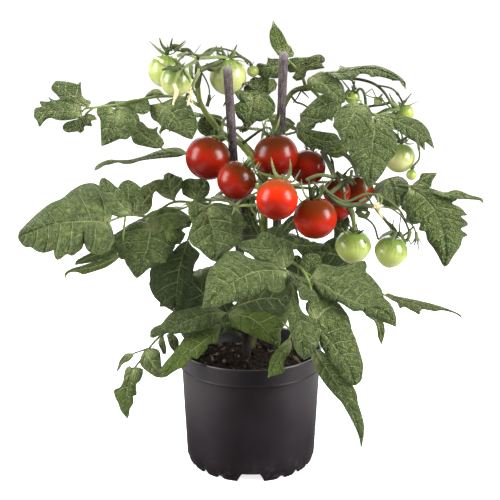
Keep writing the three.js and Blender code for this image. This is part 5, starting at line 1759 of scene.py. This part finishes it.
def make_pot(look):
    """The turned wall, whose lower edge rises into the foot's arches, and a floor with drain holes."""
    shape = Shape()
    angle = turns(POT_SIDES)
    cut = foot_cut_height(angle)
    outside = finer(POT_OUTSIDE)
    inside = finer(POT_INSIDE)
    rings = []
    for number, (radius, height) in enumerate(outside + inside):
        lifted = np.maximum(height, cut)
        profile = outside if number < len(outside) else inside[::-1]
        radii = np.interp(lifted, [z for _, z in profile], [r for r, _ in profile])
        radii = np.where(lifted > height, radii, radius)
        rings.append(np.stack([radii * np.cos(angle), radii * np.sin(angle), lifted], -1))
    rings.append(rings[0])
    points = np.vstack(rings[:-1])
    faces = grid_faces(len(rings), len(angle), True)
    faces = np.where(faces >= len(points), faces - len(points), faces)
    shape.add(points, [faces])
    shape.finish("pot_wall", ["pot"], [look], 40)
    make_pot_floor(look)


def finer(profile):
    """A profile with points added between its own, so that no stretch is longer than POT_STEP."""
    whole = []
    for (r0, z0), (r1, z1) in zip(profile, profile[1:]):
        parts = max(1, math.ceil(math.hypot(r1 - r0, z1 - z0) / POT_STEP))
        whole += [(r0 + (r1 - r0) * part / parts, z0 + (z1 - z0) * part / parts) for part in range(parts)]
    return whole + [profile[-1]]


def make_pot_floor(look):
    """The pot's raised floor, a plate with a ring of drain holes."""
    plate = Shape()
    add_bar(plate, [(0, 0, FLOOR_HEIGHT), (0, 0, FLOOR_HEIGHT + FLOOR_THICKNESS)], FLOOR_RADIUS, 96)
    floor = plate.finish("pot_floor", ["pot"], [look], 40)
    holes = Shape()
    for hole in range(DRAIN_COUNT):
        turn = (hole + 0.5) * 2 * math.pi / DRAIN_COUNT
        x, y = DRAIN_CIRCLE * math.cos(turn), DRAIN_CIRCLE * math.sin(turn)
        add_bar(holes, [(x, y, FLOOR_HEIGHT - 3), (x, y, FLOOR_HEIGHT + 5)], DRAIN_RADIUS, 32)
    cutter = holes.finish("drain_cutter", [], [look], 40)
    cut = floor.modifiers.new("drain", "BOOLEAN")
    cut.object = cutter
    cut.operation = "DIFFERENCE"
    cut.solver = "EXACT"
    shown = bpy.context.evaluated_depsgraph_get()
    solid = bpy.data.meshes.new_from_object(floor.evaluated_get(shown))
    floor.modifiers.clear()
    floor.data = solid
    bpy.data.objects.remove(cutter)


def make_floor(look):
    """The studio's floor, which isn't part of the object."""
    mesh = bpy.data.meshes.new("floor")
    corners = [(x * FLOOR_REACH, y * FLOOR_REACH, 0) for x, y in ((-1, -1), (1, -1), (1, 1), (-1, 1))]
    mesh.from_pydata(corners, [], [(0, 1, 2, 3)])
    mesh.materials.append(look)
    linked(mesh, "floor")


# ---- Assembly --------------------------------------------------------------------------------

make_camera()
make_lights()
make_world()
set_view()

leaf_top = leaf_material("leaf_top", paint(42, 63, 17), paint(124, 145, 66), paint(186, 201, 128),
                         paint(192, 204, 134), paint(100, 126, 14), 1.0, 0.46)
leaf_below = leaf_material("leaf_below", paint(86, 102, 46), paint(130, 148, 78), paint(160, 172, 112),
                           paint(184, 194, 124), paint(150, 168, 58), 0.6, 0.6)
stalk_look = stalk_material("leaf_stalk", paint(78, 94, 40), paint(126, 142, 76), paint(92, 84, 50))
stem_look = stalk_material("stem_skin", paint(76, 90, 34), paint(130, 138, 70), paint(98, 82, 50))
truss_look = stalk_material("truss_stalk", paint(38, 46, 20), paint(78, 88, 44), paint(80, 62, 40))
sepal_look = stalk_material("sepal", paint(40, 54, 20), paint(84, 98, 46), paint(68, 74, 36))
# A paler copy of the green skin for drawn parts that stand in the light: painted light
lit_strand_look = stalk_material("strand_painted_lit", paint(78, 88, 44), paint(126, 134, 84), paint(118, 102, 70))
truss_looks = [sepal_look, truss_look, petal_material(), lit_strand_look]
ripe_look = ripe_material()
unripe_look = unripe_material()

make_pot(pot_material())
make_soil(soil_material())
stake_look = stake_material()
for number, (stake_name, (foot, top)) in enumerate(STAKES.items()):
    make_stake(stake_name, foot, top, stake_look, number + 3)
make_stem(stem_look)
make_leaves([leaf_top, leaf_below, stalk_look])
for number, (truss_name, (stalk, carried)) in enumerate(TRUSSES.items()):
    make_truss(truss_name, stalk, carried, truss_looks, 400 + 20 * number)
for number, (fruit_name, fruit) in enumerate(RED_FRUIT.items()):
    make_fruit(fruit_name, fruit, ripe_look, "ripe_fruit", 600 + number)
for number, (fruit_name, fruit) in enumerate(GREEN_FRUIT.items()):
    make_fruit(fruit_name, fruit, unripe_look, "unripe_fruit", 700 + number)
make_floor(floor_material())
